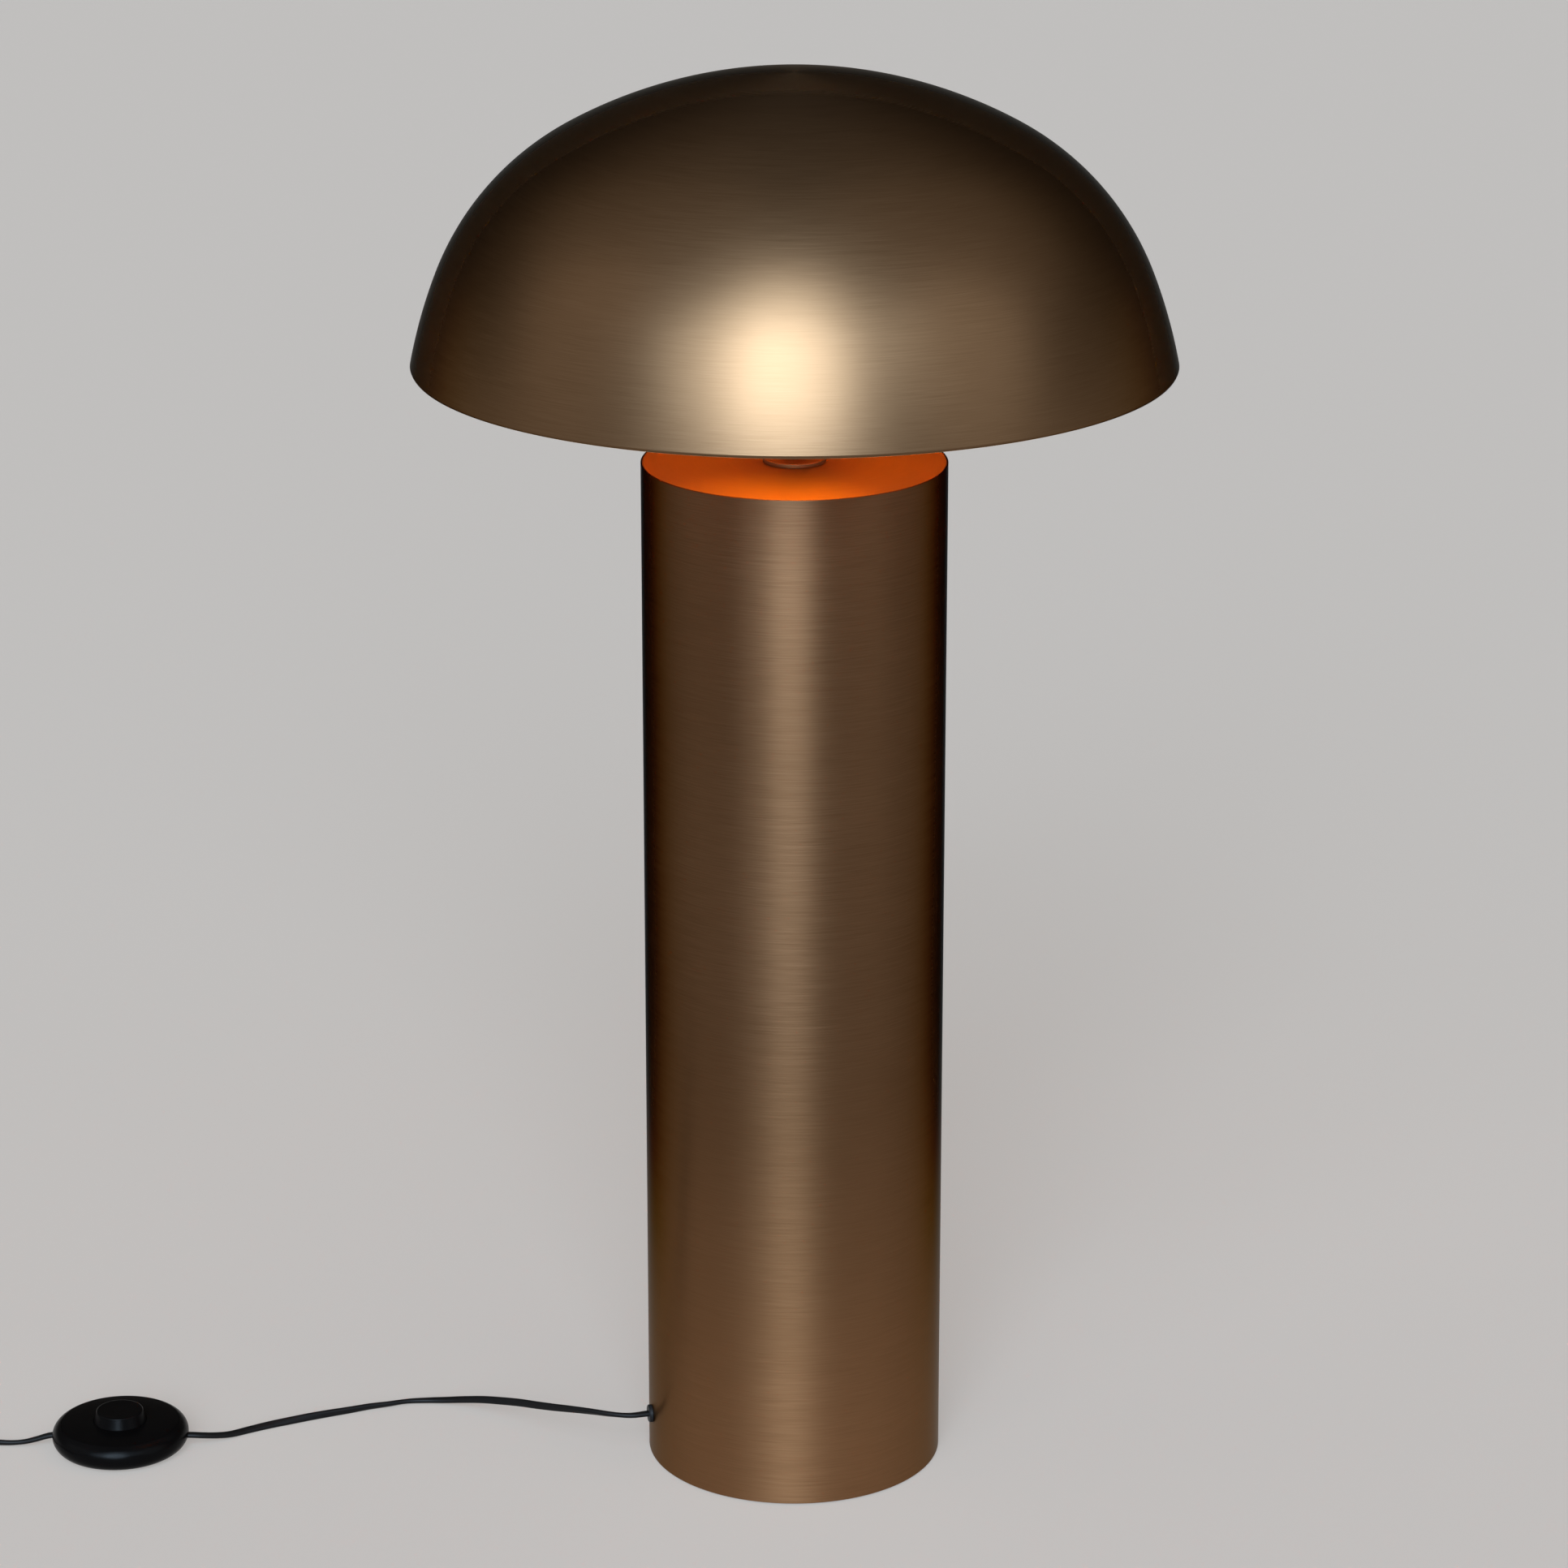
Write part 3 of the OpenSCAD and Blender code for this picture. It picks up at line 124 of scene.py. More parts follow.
def new_material(name, **settings):
    """A material with one Principled shader whose sockets are set from the settings."""
    material = bpy.data.materials.new(name)
    material.use_nodes = True
    shader = material.node_tree.nodes["Principled BSDF"]
    for key, value in settings.items():
        shader.inputs[key.replace("_", " ").title().replace("Ior", "IOR")].default_value = value
    return material, material.node_tree, shader


def add(tree, kind, inputs=(), **settings):
    """A node of a kind, with attributes set by name and its inputs linked or set in order."""
    node = tree.nodes.new(kind)
    for key, value in settings.items():
        setattr(node, key, value)
    for key, value in dict(inputs).items():
        if isinstance(value, bpy.types.NodeSocket):
            tree.links.new(value, node.inputs[key])
        else:
            node.inputs[key].default_value = value
    return node


def ranged(tree, value, low, high):
    """The value, which runs from 0 to 1, stretched to run from low to high."""
    return add(tree, "ShaderNodeMapRange", {"Value": value, "To Min": low, "To Max": high}).outputs["Result"]


def eased(tree, value, start, end):
    """Zero up to the start, one from the end on, and a smooth rise between them."""
    inputs = {"Value": value, "From Min": start, "From Max": end}
    return add(tree, "ShaderNodeMapRange", inputs, interpolation_type="SMOOTHSTEP").outputs[0]


def maths(tree, operation, first, second):
    """A sum, product or other result of two values."""
    return add(tree, "ShaderNodeMath", {0: first, 1: second}, operation=operation).outputs[0]


def mixed(tree, factor, first, second):
    """A colour between two colours, each of them three numbers or another node's socket."""
    inputs = {0: factor}
    for socket, colour in ((FIRST_COLOUR, first), (SECOND_COLOUR, second)):
        inputs[socket] = colour if isinstance(colour, bpy.types.NodeSocket) else (*colour, 1)
    return add(tree, "ShaderNodeMix", inputs, data_type="RGBA").outputs[MIXED_COLOUR]


print("node helpers ready")

# %% [markdown]
# No finish here comes from a picture. Every one is worked out from the place on the piece: a noise turns the
# place into a value, and the same kind of value drives the colour, the roughness and a small bump.

# %% Helpers for textures


def object_place(tree, scale=(1, 1, 1)):
    """Object coordinates times a scale for each axis."""
    coordinates = add(tree, "ShaderNodeTexCoord").outputs["Object"]
    return add(tree, "ShaderNodeMapping", {"Vector": coordinates, "Scale": scale}).outputs["Vector"]


def noise(tree, place, scale, detail=3.0):
    """A noise value between 0 and 1 at a place."""
    inputs = {"Vector": place, "Scale": scale, "Detail": detail}
    return add(tree, "ShaderNodeTexNoise", inputs).outputs["Fac"]


def bumped(tree, shader, height, distance):
    """Raise the surface by a height map, at most by a distance in metres."""
    bump = add(tree, "ShaderNodeBump", {"Height": height, "Distance": distance})
    tree.links.new(bump.outputs["Normal"], shader.inputs["Normal"])


print("texture helpers ready")

# %% [markdown]
# The lamp's brass is stained to a deep bronze and brushed while it turns, so its scratches run round the
# axis. Scratches blur a reflection across themselves much more than along themselves, and that draws a
# highlight out into a tall band. The shader's anisotropy does this for light. Its direction runs round the
# axis, and a quarter turn of the anisotropy makes the blur run across the scratches. A noise that is
# stretched along them adds the fine streaks themselves. Each turned shell carries an attribute called along,
# the distance from its top along its outline, so the streaks stay as fine on the steep side as on the crown.
# A dark tint darkens what the metal shows at a glancing angle: painted shade that stands for the dark room
# the edges reflect. On the body the colour and that tint turn paler towards the foot: painted light for the
# brighter reflection low on the body.
# The top of the body has a plain satin finish, and the inside of the shade is left raw and matt.

# %% The brushed brass
BRASS_PALE = (0.156, 0.084, 0.043)
BRASS_DEEP = (0.119, 0.062, 0.030)
SHADE_PALE, SHADE_DEEP = (0.184, 0.108, 0.058), (0.152, 0.087, 0.045)
SATIN_PALE, SATIN_DEEP = (0.300, 0.165, 0.075), (0.250, 0.135, 0.060)
INSIDE_PALE, INSIDE_DEEP = (0.88, 0.62, 0.32), (0.82, 0.56, 0.27)
# Paler colours towards the body's foot: painted light for the brighter reflection low on the body.
PAINTED_LIGHT_FOOT_PALE, PAINTED_LIGHT_FOOT_DEEP = (0.250, 0.128, 0.061), (0.210, 0.106, 0.049)
# Painted shade at a glancing angle: the dark tint stands for the dark room that the metal's edges reflect.
# The foot's paler tint is painted light for the brighter reflection low on the body.
PAINTED_SHADE_EDGE, PAINTED_LIGHT_FOOT_EDGE = (0.02, 0.07, 0.09), (0.58, 0.55, 0.50)     # tints at a glancing angle
SATIN_EDGE, INSIDE_EDGE = (0.60, 0.42, 0.26), (0.9, 0.8, 0.7)
STREAKS_PER_METRE = 1900
STREAKS_ROUND = 34             # streaks for each metre round the axis
STREAK_DEPTH = 0.000018
CLOUDS_PER_METRE = 5.0
TONE_LOW, TONE_HIGH = 0.12, 0.42     # where the clouded streaks reach the deep tone and the pale one
PAINTED_LIGHT_FOOT_SPAN = (0.32, 0.70)       # where the painted light at the body's foot starts and where it is full, in metres below its top


def brushed_brass(name, pale, deep, rough=(0.34, 0.41), anisotropy=0.76, edge=PAINTED_SHADE_EDGE, painted_light_span=None):
    """Stained brass with scratches round the Z axis."""
    material, tree, shader = new_material(
        name, metallic=1.0, anisotropic=anisotropy, anisotropic_rotation=0.25, specular_tint=(*edge, 1))
    along = add(tree, "ShaderNodeAttribute", attribute_name="along").outputs["Fac"]
    step = maths(tree, "MULTIPLY", along, STREAKS_PER_METRE)
    place = object_place(tree, (STREAKS_ROUND, STREAKS_ROUND, 0))
    place = add(tree, "ShaderNodeSeparateXYZ", {0: place})
    line = add(tree, "ShaderNodeCombineXYZ", {0: place.outputs[0], 1: place.outputs[1], 2: step}).outputs[0]
    streaks = noise(tree, line, 1.0, detail=2.0)
    cloud = noise(tree, object_place(tree), CLOUDS_PER_METRE, detail=4.0)
    clouded = maths(tree, "MULTIPLY", cloud, streaks)
    tone_inputs = {"Value": clouded, "From Min": TONE_LOW, "From Max": TONE_HIGH}
    tone = add(tree, "ShaderNodeMapRange", tone_inputs).outputs[0]
    colour = mixed(tree, tone, deep, pale)
    # Towards the foot the colour and the glancing tint turn paler: painted light for the brighter reflection
    # low on the body.
    if painted_light_span:
        down = eased(tree, along, *painted_light_span)
        colour = mixed(tree, down, colour, mixed(tree, tone, PAINTED_LIGHT_FOOT_DEEP, PAINTED_LIGHT_FOOT_PALE))
        tree.links.new(mixed(tree, down, edge, PAINTED_LIGHT_FOOT_EDGE), shader.inputs["Specular Tint"])
    tree.links.new(colour, shader.inputs["Base Color"])
    tree.links.new(ranged(tree, streaks, *rough), shader.inputs["Roughness"])
    tangent = add(tree, "ShaderNodeTangent", direction_type="RADIAL", axis="Z").outputs[0]
    tree.links.new(tangent, shader.inputs["Tangent"])
    bumped(tree, shader, streaks, STREAK_DEPTH)
    return material


body_brass = brushed_brass("brushed_brass_body", BRASS_PALE, BRASS_DEEP, painted_light_span=PAINTED_LIGHT_FOOT_SPAN)
shade_brass = brushed_brass("brushed_brass_shade", SHADE_PALE, SHADE_DEEP, rough=(0.345, 0.395),
                            anisotropy=0.30)
satin_brass = brushed_brass("satin_brass_top", SATIN_PALE, SATIN_DEEP, rough=(0.52, 0.60),
                            anisotropy=0.0, edge=SATIN_EDGE)
inside_brass = brushed_brass("raw_brass_inside", INSIDE_PALE, INSIDE_DEEP, rough=(0.84, 0.94),
                             anisotropy=0.0, edge=INSIDE_EDGE)
print("made", body_brass.name, shade_brass.name, satin_brass.name, "and", inside_brass.name)

# %% [markdown]
# The other finishes are smaller stories. Moulded black plastic has a fine grain and a soft sheen. The flex is
# smooth PVC. Cast iron is painted and lumpy. Zinc-plated screws are bright with a faint mottle. Each one is a
# colour that varies a little, a roughness that varies a little and a small bump at the scale of the real
# grain.

# %% A general finish with grain
GRAINS = {
    # name: colour one, colour two, metallic, roughness low and high, grain per metre, bump depth
    "black_moulding": ((0.006, 0.006, 0.0065), (0.011, 0.0105, 0.011), 0, (0.38, 0.48), 2600, 0.00003),
    "switch_plastic": ((0.0014, 0.0012, 0.0012), (0.0022, 0.0018, 0.0018), 0, (0.22, 0.28), 3000, 0.00002),
    "ivory_moulding": ((0.72, 0.68, 0.58), (0.80, 0.77, 0.68), 0, (0.38, 0.50), 1800, 0.00002),
    "steatite": ((0.80, 0.79, 0.75), (0.88, 0.87, 0.84), 0, (0.14, 0.26), 700, 0.00002),
    "zinc_steel": ((0.50, 0.50, 0.52), (0.66, 0.66, 0.67), 1, (0.24, 0.40), 900, 0.00001),
    "spring_wire": ((0.52, 0.52, 0.55), (0.64, 0.64, 0.66), 1, (0.20, 0.32), 1500, 0.00001),
    "painted_iron": ((0.050, 0.050, 0.052), (0.085, 0.085, 0.088), 0, (0.50, 0.70), 420, 0.00018),
    "plain_brass": ((0.56, 0.38, 0.17), (0.70, 0.50, 0.25), 1, (0.24, 0.38), 800, 0.00001),
    "contact_brass": ((0.66, 0.47, 0.20), (0.80, 0.60, 0.29), 1, (0.18, 0.30), 1100, 0.00001),
    "cap_aluminium": ((0.60, 0.60, 0.60), (0.72, 0.72, 0.71), 1, (0.24, 0.36), 900, 0.00001),
    "foam_rubber": ((0.018, 0.018, 0.018), (0.034, 0.034, 0.034), 0, (0.80, 0.95), 1300, 0.00015),
    "core_brown": ((0.11, 0.045, 0.022), (0.15, 0.065, 0.034), 0, (0.38, 0.48), 1500, 0.00002),
    "cap_glass": ((0.008, 0.008, 0.012), (0.016, 0.016, 0.024), 0, (0.05, 0.12), 500, 0.00001),
    "woven_strap": ((0.020, 0.020, 0.021), (0.045, 0.045, 0.047), 0, (0.80, 0.92), 2200, 0.00020),
}
DULL = {"switch_plastic": 0.045, "black_moulding": 0.15}     # these reflect less than the usual half
USUAL_SHINE = 0.5
MOTTLE = 40                    # the mottle of a finish is so many times as coarse as its grain


def grained(name):
    """A finish from the table above."""
    first, second, metallic, rough, grain, depth = GRAINS[name]
    shine = DULL.get(name, USUAL_SHINE)
    material, tree, shader = new_material(name, metallic=float(metallic), specular_ior_level=shine)
    fine = noise(tree, object_place(tree), grain, detail=2.0)
    broad = noise(tree, object_place(tree), grain / MOTTLE, detail=3.0)
    tree.links.new(mixed(tree, broad, first, second), shader.inputs["Base Color"])
    tree.links.new(ranged(tree, broad, *rough), shader.inputs["Roughness"])
    bumped(tree, shader, fine, depth)
    return material


finish = {name: grained(name) for name in GRAINS}
print("grained finishes:", len(finish))

# %% [markdown]
# The bulb burns amber. Its glass lets the light out, so a shadow ray passes straight through it, while every
# other ray sees tinted glass. The four filaments glow by themselves.

# %% Bulb glass and filament
AMBER_GLASS = (1.0, 0.60, 0.20)
AMBER_LIGHT = (1.0, 0.35, 0.004)
FILAMENT_STRENGTH = 18.0
FILAMENT_DIM, FILAMENT_BRIGHT = (1.0, 0.20, 0.01), (1.0, 0.42, 0.05)
FILAMENT_MOTTLE = 500.0
BULB_RIPPLES, BULB_RIPPLE = 60.0, 0.0001       # ripples in a metre, and their depth in metres
STEM_RIPPLES, STEM_RIPPLE = 90.0, 0.00008


def bulb_glass_finish():
    """Thin amber glass that casts no shadow."""
    material, tree, shader = new_material(
        "amber_glass", roughness=0.03, ior=1.45, transmission_weight=1.0, base_color=(*AMBER_GLASS, 1))
    clear = add(tree, "ShaderNodeBsdfTransparent").outputs[0]
    shadow = add(tree, "ShaderNodeLightPath").outputs["Is Shadow Ray"]
    bumped(tree, shader, noise(tree, object_place(tree), BULB_RIPPLES), BULB_RIPPLE)
    mix = add(tree, "ShaderNodeMixShader", {0: shadow, 1: shader.outputs[0], 2: clear}).outputs[0]
    tree.links.new(mix, tree.nodes["Material Output"].inputs["Surface"])
    return material


def filament_finish():
    """A coated filament that glows, a little unevenly."""
    material, tree, shader = new_material(
        "glowing_filament", base_color=(0.9, 0.5, 0.1, 1), roughness=0.6, emission_strength=FILAMENT_STRENGTH)
    glow = noise(tree, object_place(tree), FILAMENT_MOTTLE)
    tree.links.new(mixed(tree, glow, FILAMENT_DIM, FILAMENT_BRIGHT), shader.inputs["Emission Color"])
    return material


amber_glass = bulb_glass_finish()
filament_glow = filament_finish()
stem_glass, stem_tree, stem_shader = new_material(
    "clear_glass", roughness=0.04, ior=1.5, transmission_weight=1.0, base_color=(0.95, 0.95, 0.92, 1))
bumped(stem_tree, stem_shader, noise(stem_tree, object_place(stem_tree), STEM_RIPPLES), STEM_RIPPLE)
print("bulb finishes made")

# %% [markdown]
# The flex is a flat twin flex: two wires side by side in one smooth PVC sheath. It leaves the body through a
# bush near the floor, rolls over as it lies down, and runs to the foot switch. Its route repeats the model's
# points: X, Y and height in millimetres, and how far the flat flex has rolled, in degrees. A curve object
# could be bevelled with a flat section, but a mesh lets the roll follow the route exactly, so the flex is a
# tube made ring by ring.

# %% The route to the switch
BUSH_TURN = 192.5              # direction of the bush, in degrees from +X
BUSH_FACE = 102.5              # from the axis to the bush's outer face, in millimetres
BUSH_HEIGHT = 31
SWITCH_X, SWITCH_Y = -465, -9
SWITCH_RADIUS = 46.8
SHEATH_END = 30.5              # the sheath ends this far from the switch's middle
FLEX_LEVEL = 8.5               # where the flex enters the switch

bush_out = (math.cos(math.radians(BUSH_TURN)), math.sin(math.radians(BUSH_TURN)), 0)
lamp_route = [
    (BUSH_FACE * bush_out[0], BUSH_FACE * bush_out[1], BUSH_HEIGHT, 0),
    (-112, -24.5, 30.6, 15), (-125, -22.5, 30.5, 32), (-138, -17, 29.8, 48), (-152, -9, 27.8, 64),
    (-165, 0, 25, 80), (-178, 10, 22, 94), (-191, 22, 18.3, 108), (-205, 33, 14.5, 124),
    (-218, 43, 10.7, 139), (-232, 52, 6.5, 154), (-245, 57, 3.8, 170), (-258, 59.5, 2.4, 186),
    (-272, 58, 2.4, 203), (-285, 53, 2.6, 219), (-298, 48.5, 2.8, 235), (-311, 43, 2.8, 250),
    (-325, 37.5, 2.8, 268), (-338, 32, 2.8, 286), (-352, 25.5, 2.7, 305), (-365, 19.5, 2.5, 322),
    (-378, 12.5, 2.3, 336), (-390, 4, 2.9, 348), (-399, -2.5, 5, 354), (-408, -7.5, 7.4, 358),
    (SWITCH_X + SWITCH_RADIUS, SWITCH_Y, FLEX_LEVEL, 360), (SWITCH_X + SHEATH_END, SWITCH_Y, FLEX_LEVEL, 360)]
print("chosen points up to the switch:", len(lamp_route))

# %% [markdown]
# Beyond the switch only a few centimetres of the flex show. The rest is put away in a coil, with the plug
# beside it. The coil is wound in two layers, so both of its ends are on the outside. A formula gives its
# points.

# %% The coil and the route to the plug
COIL_X, COIL_Y = -600, -47.4
COIL_TURNS, COIL_INNER = 7.25, 24
COIL_PITCH, COIL_CLIMB = 3.9, 5.9
COIL_LOW = 3.5
COIL_RINGS = 32                # points in one turn of the coil
COIL_OUTER = COIL_INNER + COIL_PITCH * COIL_TURNS / 2
CLIMB_TURNS = 0.5              # the part of a turn in which the coil climbs to its upper layer
COIL_JOIN = 5.4                # how far from the coil's ends the flex starts to bend away
PLUG_GAP = 46                  # from the end of the coil to the plug's tail
PLUG_LEVEL = 6.85

plug_route = [
    (SWITCH_X - SHEATH_END, SWITCH_Y, FLEX_LEVEL, 0), (SWITCH_X - SWITCH_RADIUS, SWITCH_Y, FLEX_LEVEL, 0),
    (-524, -9, 5.2, 10), (-532, -8.8, 3.2, 20), (-541, -8.6, 2.3, 32), (-550, -8.5, 2.5, 44),
    (-559, -8.4, 2.7, 56), (-568, -8.4, 2.9, 67), (-577, -8.5, 3.1, 77), (-585, -8.6, 3.2, 85),
    (COIL_X + COIL_JOIN, COIL_Y + COIL_OUTER, COIL_LOW, 90)]


def coil_route():
    """The coil winds inwards on the floor, climbs in the middle and winds outwards on top."""
    middle = COIL_TURNS / 2
    points = []
    for i in range(int(COIL_TURNS * COIL_RINGS) + 1):
        turn = i / COIL_RINGS
        radius = COIL_INNER + COIL_PITCH * abs(turn - middle)
        angle = math.radians(90 + 360 * turn)
        share = min(1, max(0, (turn - middle) / CLIMB_TURNS + 0.5))
        height = COIL_LOW + COIL_CLIMB * share * share * (3 - 2 * share)
        points.append((COIL_X + radius * math.cos(angle), COIL_Y + radius * math.sin(angle), height, 90))
    return points


coil_points = coil_route()
end_x, end_y, end_z = COIL_X - COIL_OUTER, COIL_Y - COIL_JOIN, COIL_LOW + COIL_CLIMB
end_route = [(end_x, end_y, end_z, 90)]
end_route += [(end_x + x, end_y + y + COIL_JOIN, end_z + z, roll) for x, y, z, roll in (
    (0, -12, -0.4, 90), (0, -19, -1.6, 70), (-0.3, -26, -2.6, 45), (-0.6, -33, -3, 20), (-0.6, -40, -2.8, 5))]
end_route += [(end_x, end_y - PLUG_GAP, PLUG_LEVEL, 0)]
print("coil points:", len(coil_points))

# %% [markdown]
# Between the chosen points the flex has to be smooth, so each gap is filled with a curve that passes through
# the points. At each point it runs in the direction from the point before to the point after.

# %% Smooth the routes
ROUTE_PARTS = 4                # pieces into which each gap between two points is divided


def smoothed(route):
    """The route with extra points on a smooth curve through it."""
    points = [Vector(p) for p in route]
    points = [2 * points[0] - points[1], *points, 2 * points[-1] - points[-2]]
    fine = []
    for a, b, c, d in zip(points, points[1:], points[2:], points[3:]):
        for i in range(ROUTE_PARTS):
            t = i / ROUTE_PARTS
            fine.append(0.5 * (2 * b + (c - a) * t + (2 * a - 5 * b + 4 * c - d) * t ** 2
                               + (3 * b - a - 3 * c + d) * t ** 3))
    fine.append(points[-2])
    return fine


lamp_points = smoothed(lamp_route)
plug_points = smoothed(plug_route)[:-1] + [Vector(p) for p in coil_points] + smoothed(end_route)
print("points on the two stretches:", len(lamp_points), len(plug_points))

# %% [markdown]
# Each ring of the flex stands across its route, and a matrix says where. The rings at its ends face the way
# that the bush, the switch and the plug do, so the flex meets them squarely.

# %% Stand a ring on the route
MM = 0.001                     # the routes are in millimetres
FLEX_WIDE, FLEX_THICK = 5.4 * MM, 3.4 * MM
FLEX_SIDES = 20


def ring_matrix(points, i, ends):
    """Where ring i stands: X across the flat flex, Y through its thickness, Z along the route."""
    ahead = Vector(points[min(i + 1, len(points) - 1)][:3]) - Vector(points[max(i - 1, 0)][:3])
    if i == 0:
        ahead = Vector(ends[0])
    if i == len(points) - 1:
        ahead = Vector(ends[1])
    ahead.normalize()
    side = Vector((0, 0, 1)).cross(ahead).normalized()
    top = ahead.cross(side)
    roll = math.radians(points[i][3])
    wide = side * math.cos(roll) + top * math.sin(roll)
    thin = top * math.cos(roll) - side * math.sin(roll)
    turn = Matrix((wide, thin, ahead)).transposed().to_4x4()
    return Matrix.Translation(Vector(points[i][:3]) * MM) @ turn


def flat_oval(bm):
    """One ring of the flex's section: a circle whose two halves are moved apart."""
    ring = bmesh.ops.create_circle(bm, segments=FLEX_SIDES, radius=FLEX_THICK / 2)["verts"]
    bmesh.ops.rotate(bm, verts=ring, matrix=Matrix.Rotation(math.pi / FLEX_SIDES, 3, "Z"))
    for vert in ring:
        vert.co.x += math.copysign((FLEX_WIDE - FLEX_THICK) / 2, vert.co.x)
    return ring


print("each ring has", FLEX_SIDES, "points")

# %% [markdown]
# The tube starts as one flat oval, and each next ring is the last one extruded and carried along the route.
# The steps between the rings add up to the length of the flex.

# %% Sweep the rings into a flex


def grown(bm, edges):
    """Extrude a ring of edges, and give back its new points and its new edges."""
    made = bmesh.ops.extrude_edge_only(bm, edges=edges)["geom"]
    return ([v for v in made if isinstance(v, bmesh.types.BMVert)],
            [e for e in made if isinstance(e, bmesh.types.BMEdge)])


def flex_piece(name, points, ends, nodes):
    """Sweep the flat flex along smoothed points. Gives back the piece, its centreline and its length."""
    bm = bmesh.new()
    ring = flat_oval(bm)
    place = ring_matrix(points, 0, ends)
    bmesh.ops.transform(bm, verts=ring, matrix=place)
    edges = list(bm.edges)
    bmesh.ops.contextual_create(bm, geom=edges)
    travelled = 0.0
    for i in range(1, len(points)):
        following = ring_matrix(points, i, ends)
        verts, edges = grown(bm, edges)
        bmesh.ops.transform(bm, verts=verts, matrix=following @ place.inverted())
        travelled += (following.translation - place.translation).length
        place = following
    bmesh.ops.contextual_create(bm, geom=edges)
    bmesh.ops.recalc_face_normals(bm, faces=bm.faces)
    piece = finish_piece(bm, name, flex_pvc, nodes=nodes, slot="flex_black")
    return piece, [Vector(p[:3]) * MM for p in points], travelled


print("sweep helpers ready")

# %% [markdown]
# The sheath is black PVC. It looks nearly plain, but handling has left it a little unevenly smooth, and that
# shows in how its long highlight breaks up.

# %% The flex
FLEX_DARK, FLEX_SCUFFED = (0.0040, 0.0034, 0.0032), (0.0070, 0.0060, 0.0058)
FLEX_ROUGH = (0.36, 0.50)
SCUFFS_PER_METRE, FLEX_GRAIN, FLEX_GRAIN_DEPTH = 260.0, 1800.0, 0.00002


def flex_finish():
    """Black PVC with a soft sheen, scuffed a little by its own handling."""
    material, tree, shader = new_material("flex_pvc", specular_ior_level=0.10)
    scuff = noise(tree, object_place(tree), SCUFFS_PER_METRE, detail=4.0)
    fine = noise(tree, object_place(tree), FLEX_GRAIN)
    tree.links.new(mixed(tree, scuff, FLEX_DARK, FLEX_SCUFFED), shader.inputs["Base Color"])
    tree.links.new(ranged(tree, scuff, *FLEX_ROUGH), shader.inputs["Roughness"])
    bumped(tree, shader, fine, FLEX_GRAIN_DEPTH)
    return material


flex_pvc = flex_finish()
lamp_flex, lamp_line, lamp_length = flex_piece(
    "lamp_flex", lamp_points, (bush_out, (-1, 0, 0)), ["cord_lamp_run"])
plug_flex, plug_line, plug_length = flex_piece(
    "plug_flex", plug_points, ((-1, 0, 0), (0, -1, 0)), ["cord_plug_run", "cord_coil", "cord_end_run"])
print("flex lengths", round(lamp_length, 4), round(plug_length, 4))

# %% [markdown]
# The plug is the flat two-pin kind. Its body swells out of a slim tail that saves the flex from sharp bends.
# It is a loft: one oval ring is extruded and resized from station to station, and the grip is a row of small
# steps in that list of stations.

# %% The plug
PLUG_STATIONS = [
    # distance from the tail, width and thickness in millimetres
    (0, 8.2, 7.2), (0.6, 9, 8), (2.4, 9, 8), (2.6, 7.8, 6.8), (3.6, 7.8, 6.8), (3.8, 9, 8), (5.4, 9, 8),
    (5.6, 8, 7), (6.6, 8, 7), (6.8, 9, 8), (9.5, 9, 8), (13, 14.5, 9.4), (17, 21.5, 12.4), (19.5, 24.6, 13.5),
    (22, 24.8, 13.6), (28, 24.8, 13.6), (33.6, 24.2, 13.5), (34.6, 23.4, 12.9), (35, 22.2, 11.8)]
PLUG_SIDES = 40
PLUG_SQUARE = 0.275            # how far the oval is drawn towards a rounded box


def lofted(name, stations, place, material, **rides):
    """A closed body through rings that stand along Z, each with its own width and thickness."""
    bm = bmesh.new()
    first = stations[0]
    radius = MM / 2
    ring = bmesh.ops.create_circle(bm, segments=PLUG_SIDES, radius=radius)["verts"]
    for vert in ring:
        vert.co *= 1 + PLUG_SQUARE * abs(vert.co.x * vert.co.y) / radius ** 2
    span = 2 * max(vert.co.x for vert in ring) / MM
    bmesh.ops.scale(bm, verts=ring, vec=(first[1] / span, first[2] / span, 1))
    edges = list(bm.edges)
    bmesh.ops.contextual_create(bm, geom=edges)
    for last, now in zip(stations, stations[1:]):
        verts, edges = grown(bm, edges)
        bmesh.ops.scale(bm, verts=verts, vec=(now[1] / last[1], now[2] / last[2], 1))
        bmesh.ops.translate(bm, verts=verts, vec=(0, 0, (now[0] - last[0]) * MM))
    bmesh.ops.contextual_create(bm, geom=edges)
    bmesh.ops.transform(bm, verts=bm.verts, matrix=place)
    bmesh.ops.recalc_face_normals(bm, faces=bm.faces)
    return finish_piece(bm, name, material, **rides)


plug_place = Matrix.Translation(Vector((end_x, end_y - PLUG_GAP, PLUG_LEVEL)) * MM)
plug_place = plug_place @ Matrix.Rotation(math.pi / 2, 4, "X")
plug_shell = lofted("plug_shell", PLUG_STATIONS, plug_place, finish["black_moulding"],
                    nodes=["plug_body"], slot="black_plastic")

# %% [markdown]
# The round shells of this lamp were all turned or spun, so they are made the same way here. An outline is
# drawn in the XZ plane as a few corners, and beveling these corners as points rounds them.

# %% Draw an outline
CORNER_STEPS = 5


def outline_chain(bm, corners):
    """Join corners (radius, height) in metres into a closed chain of edges."""
    verts = [bm.verts.new((r, 0, z)) for r, z in corners]
    for a, b in zip(verts, verts[1:] + verts[:1]):
        bm.edges.new((a, b))
    return verts


def bevel_points(bm, points, radius, steps):
    """Round the corners of an outline that lie at the points."""
    bmesh.ops.bevel(bm, geom=points, offset=radius, offset_type="OFFSET", segments=steps, profile=0.5,
                    affect="VERTICES", material=-1)


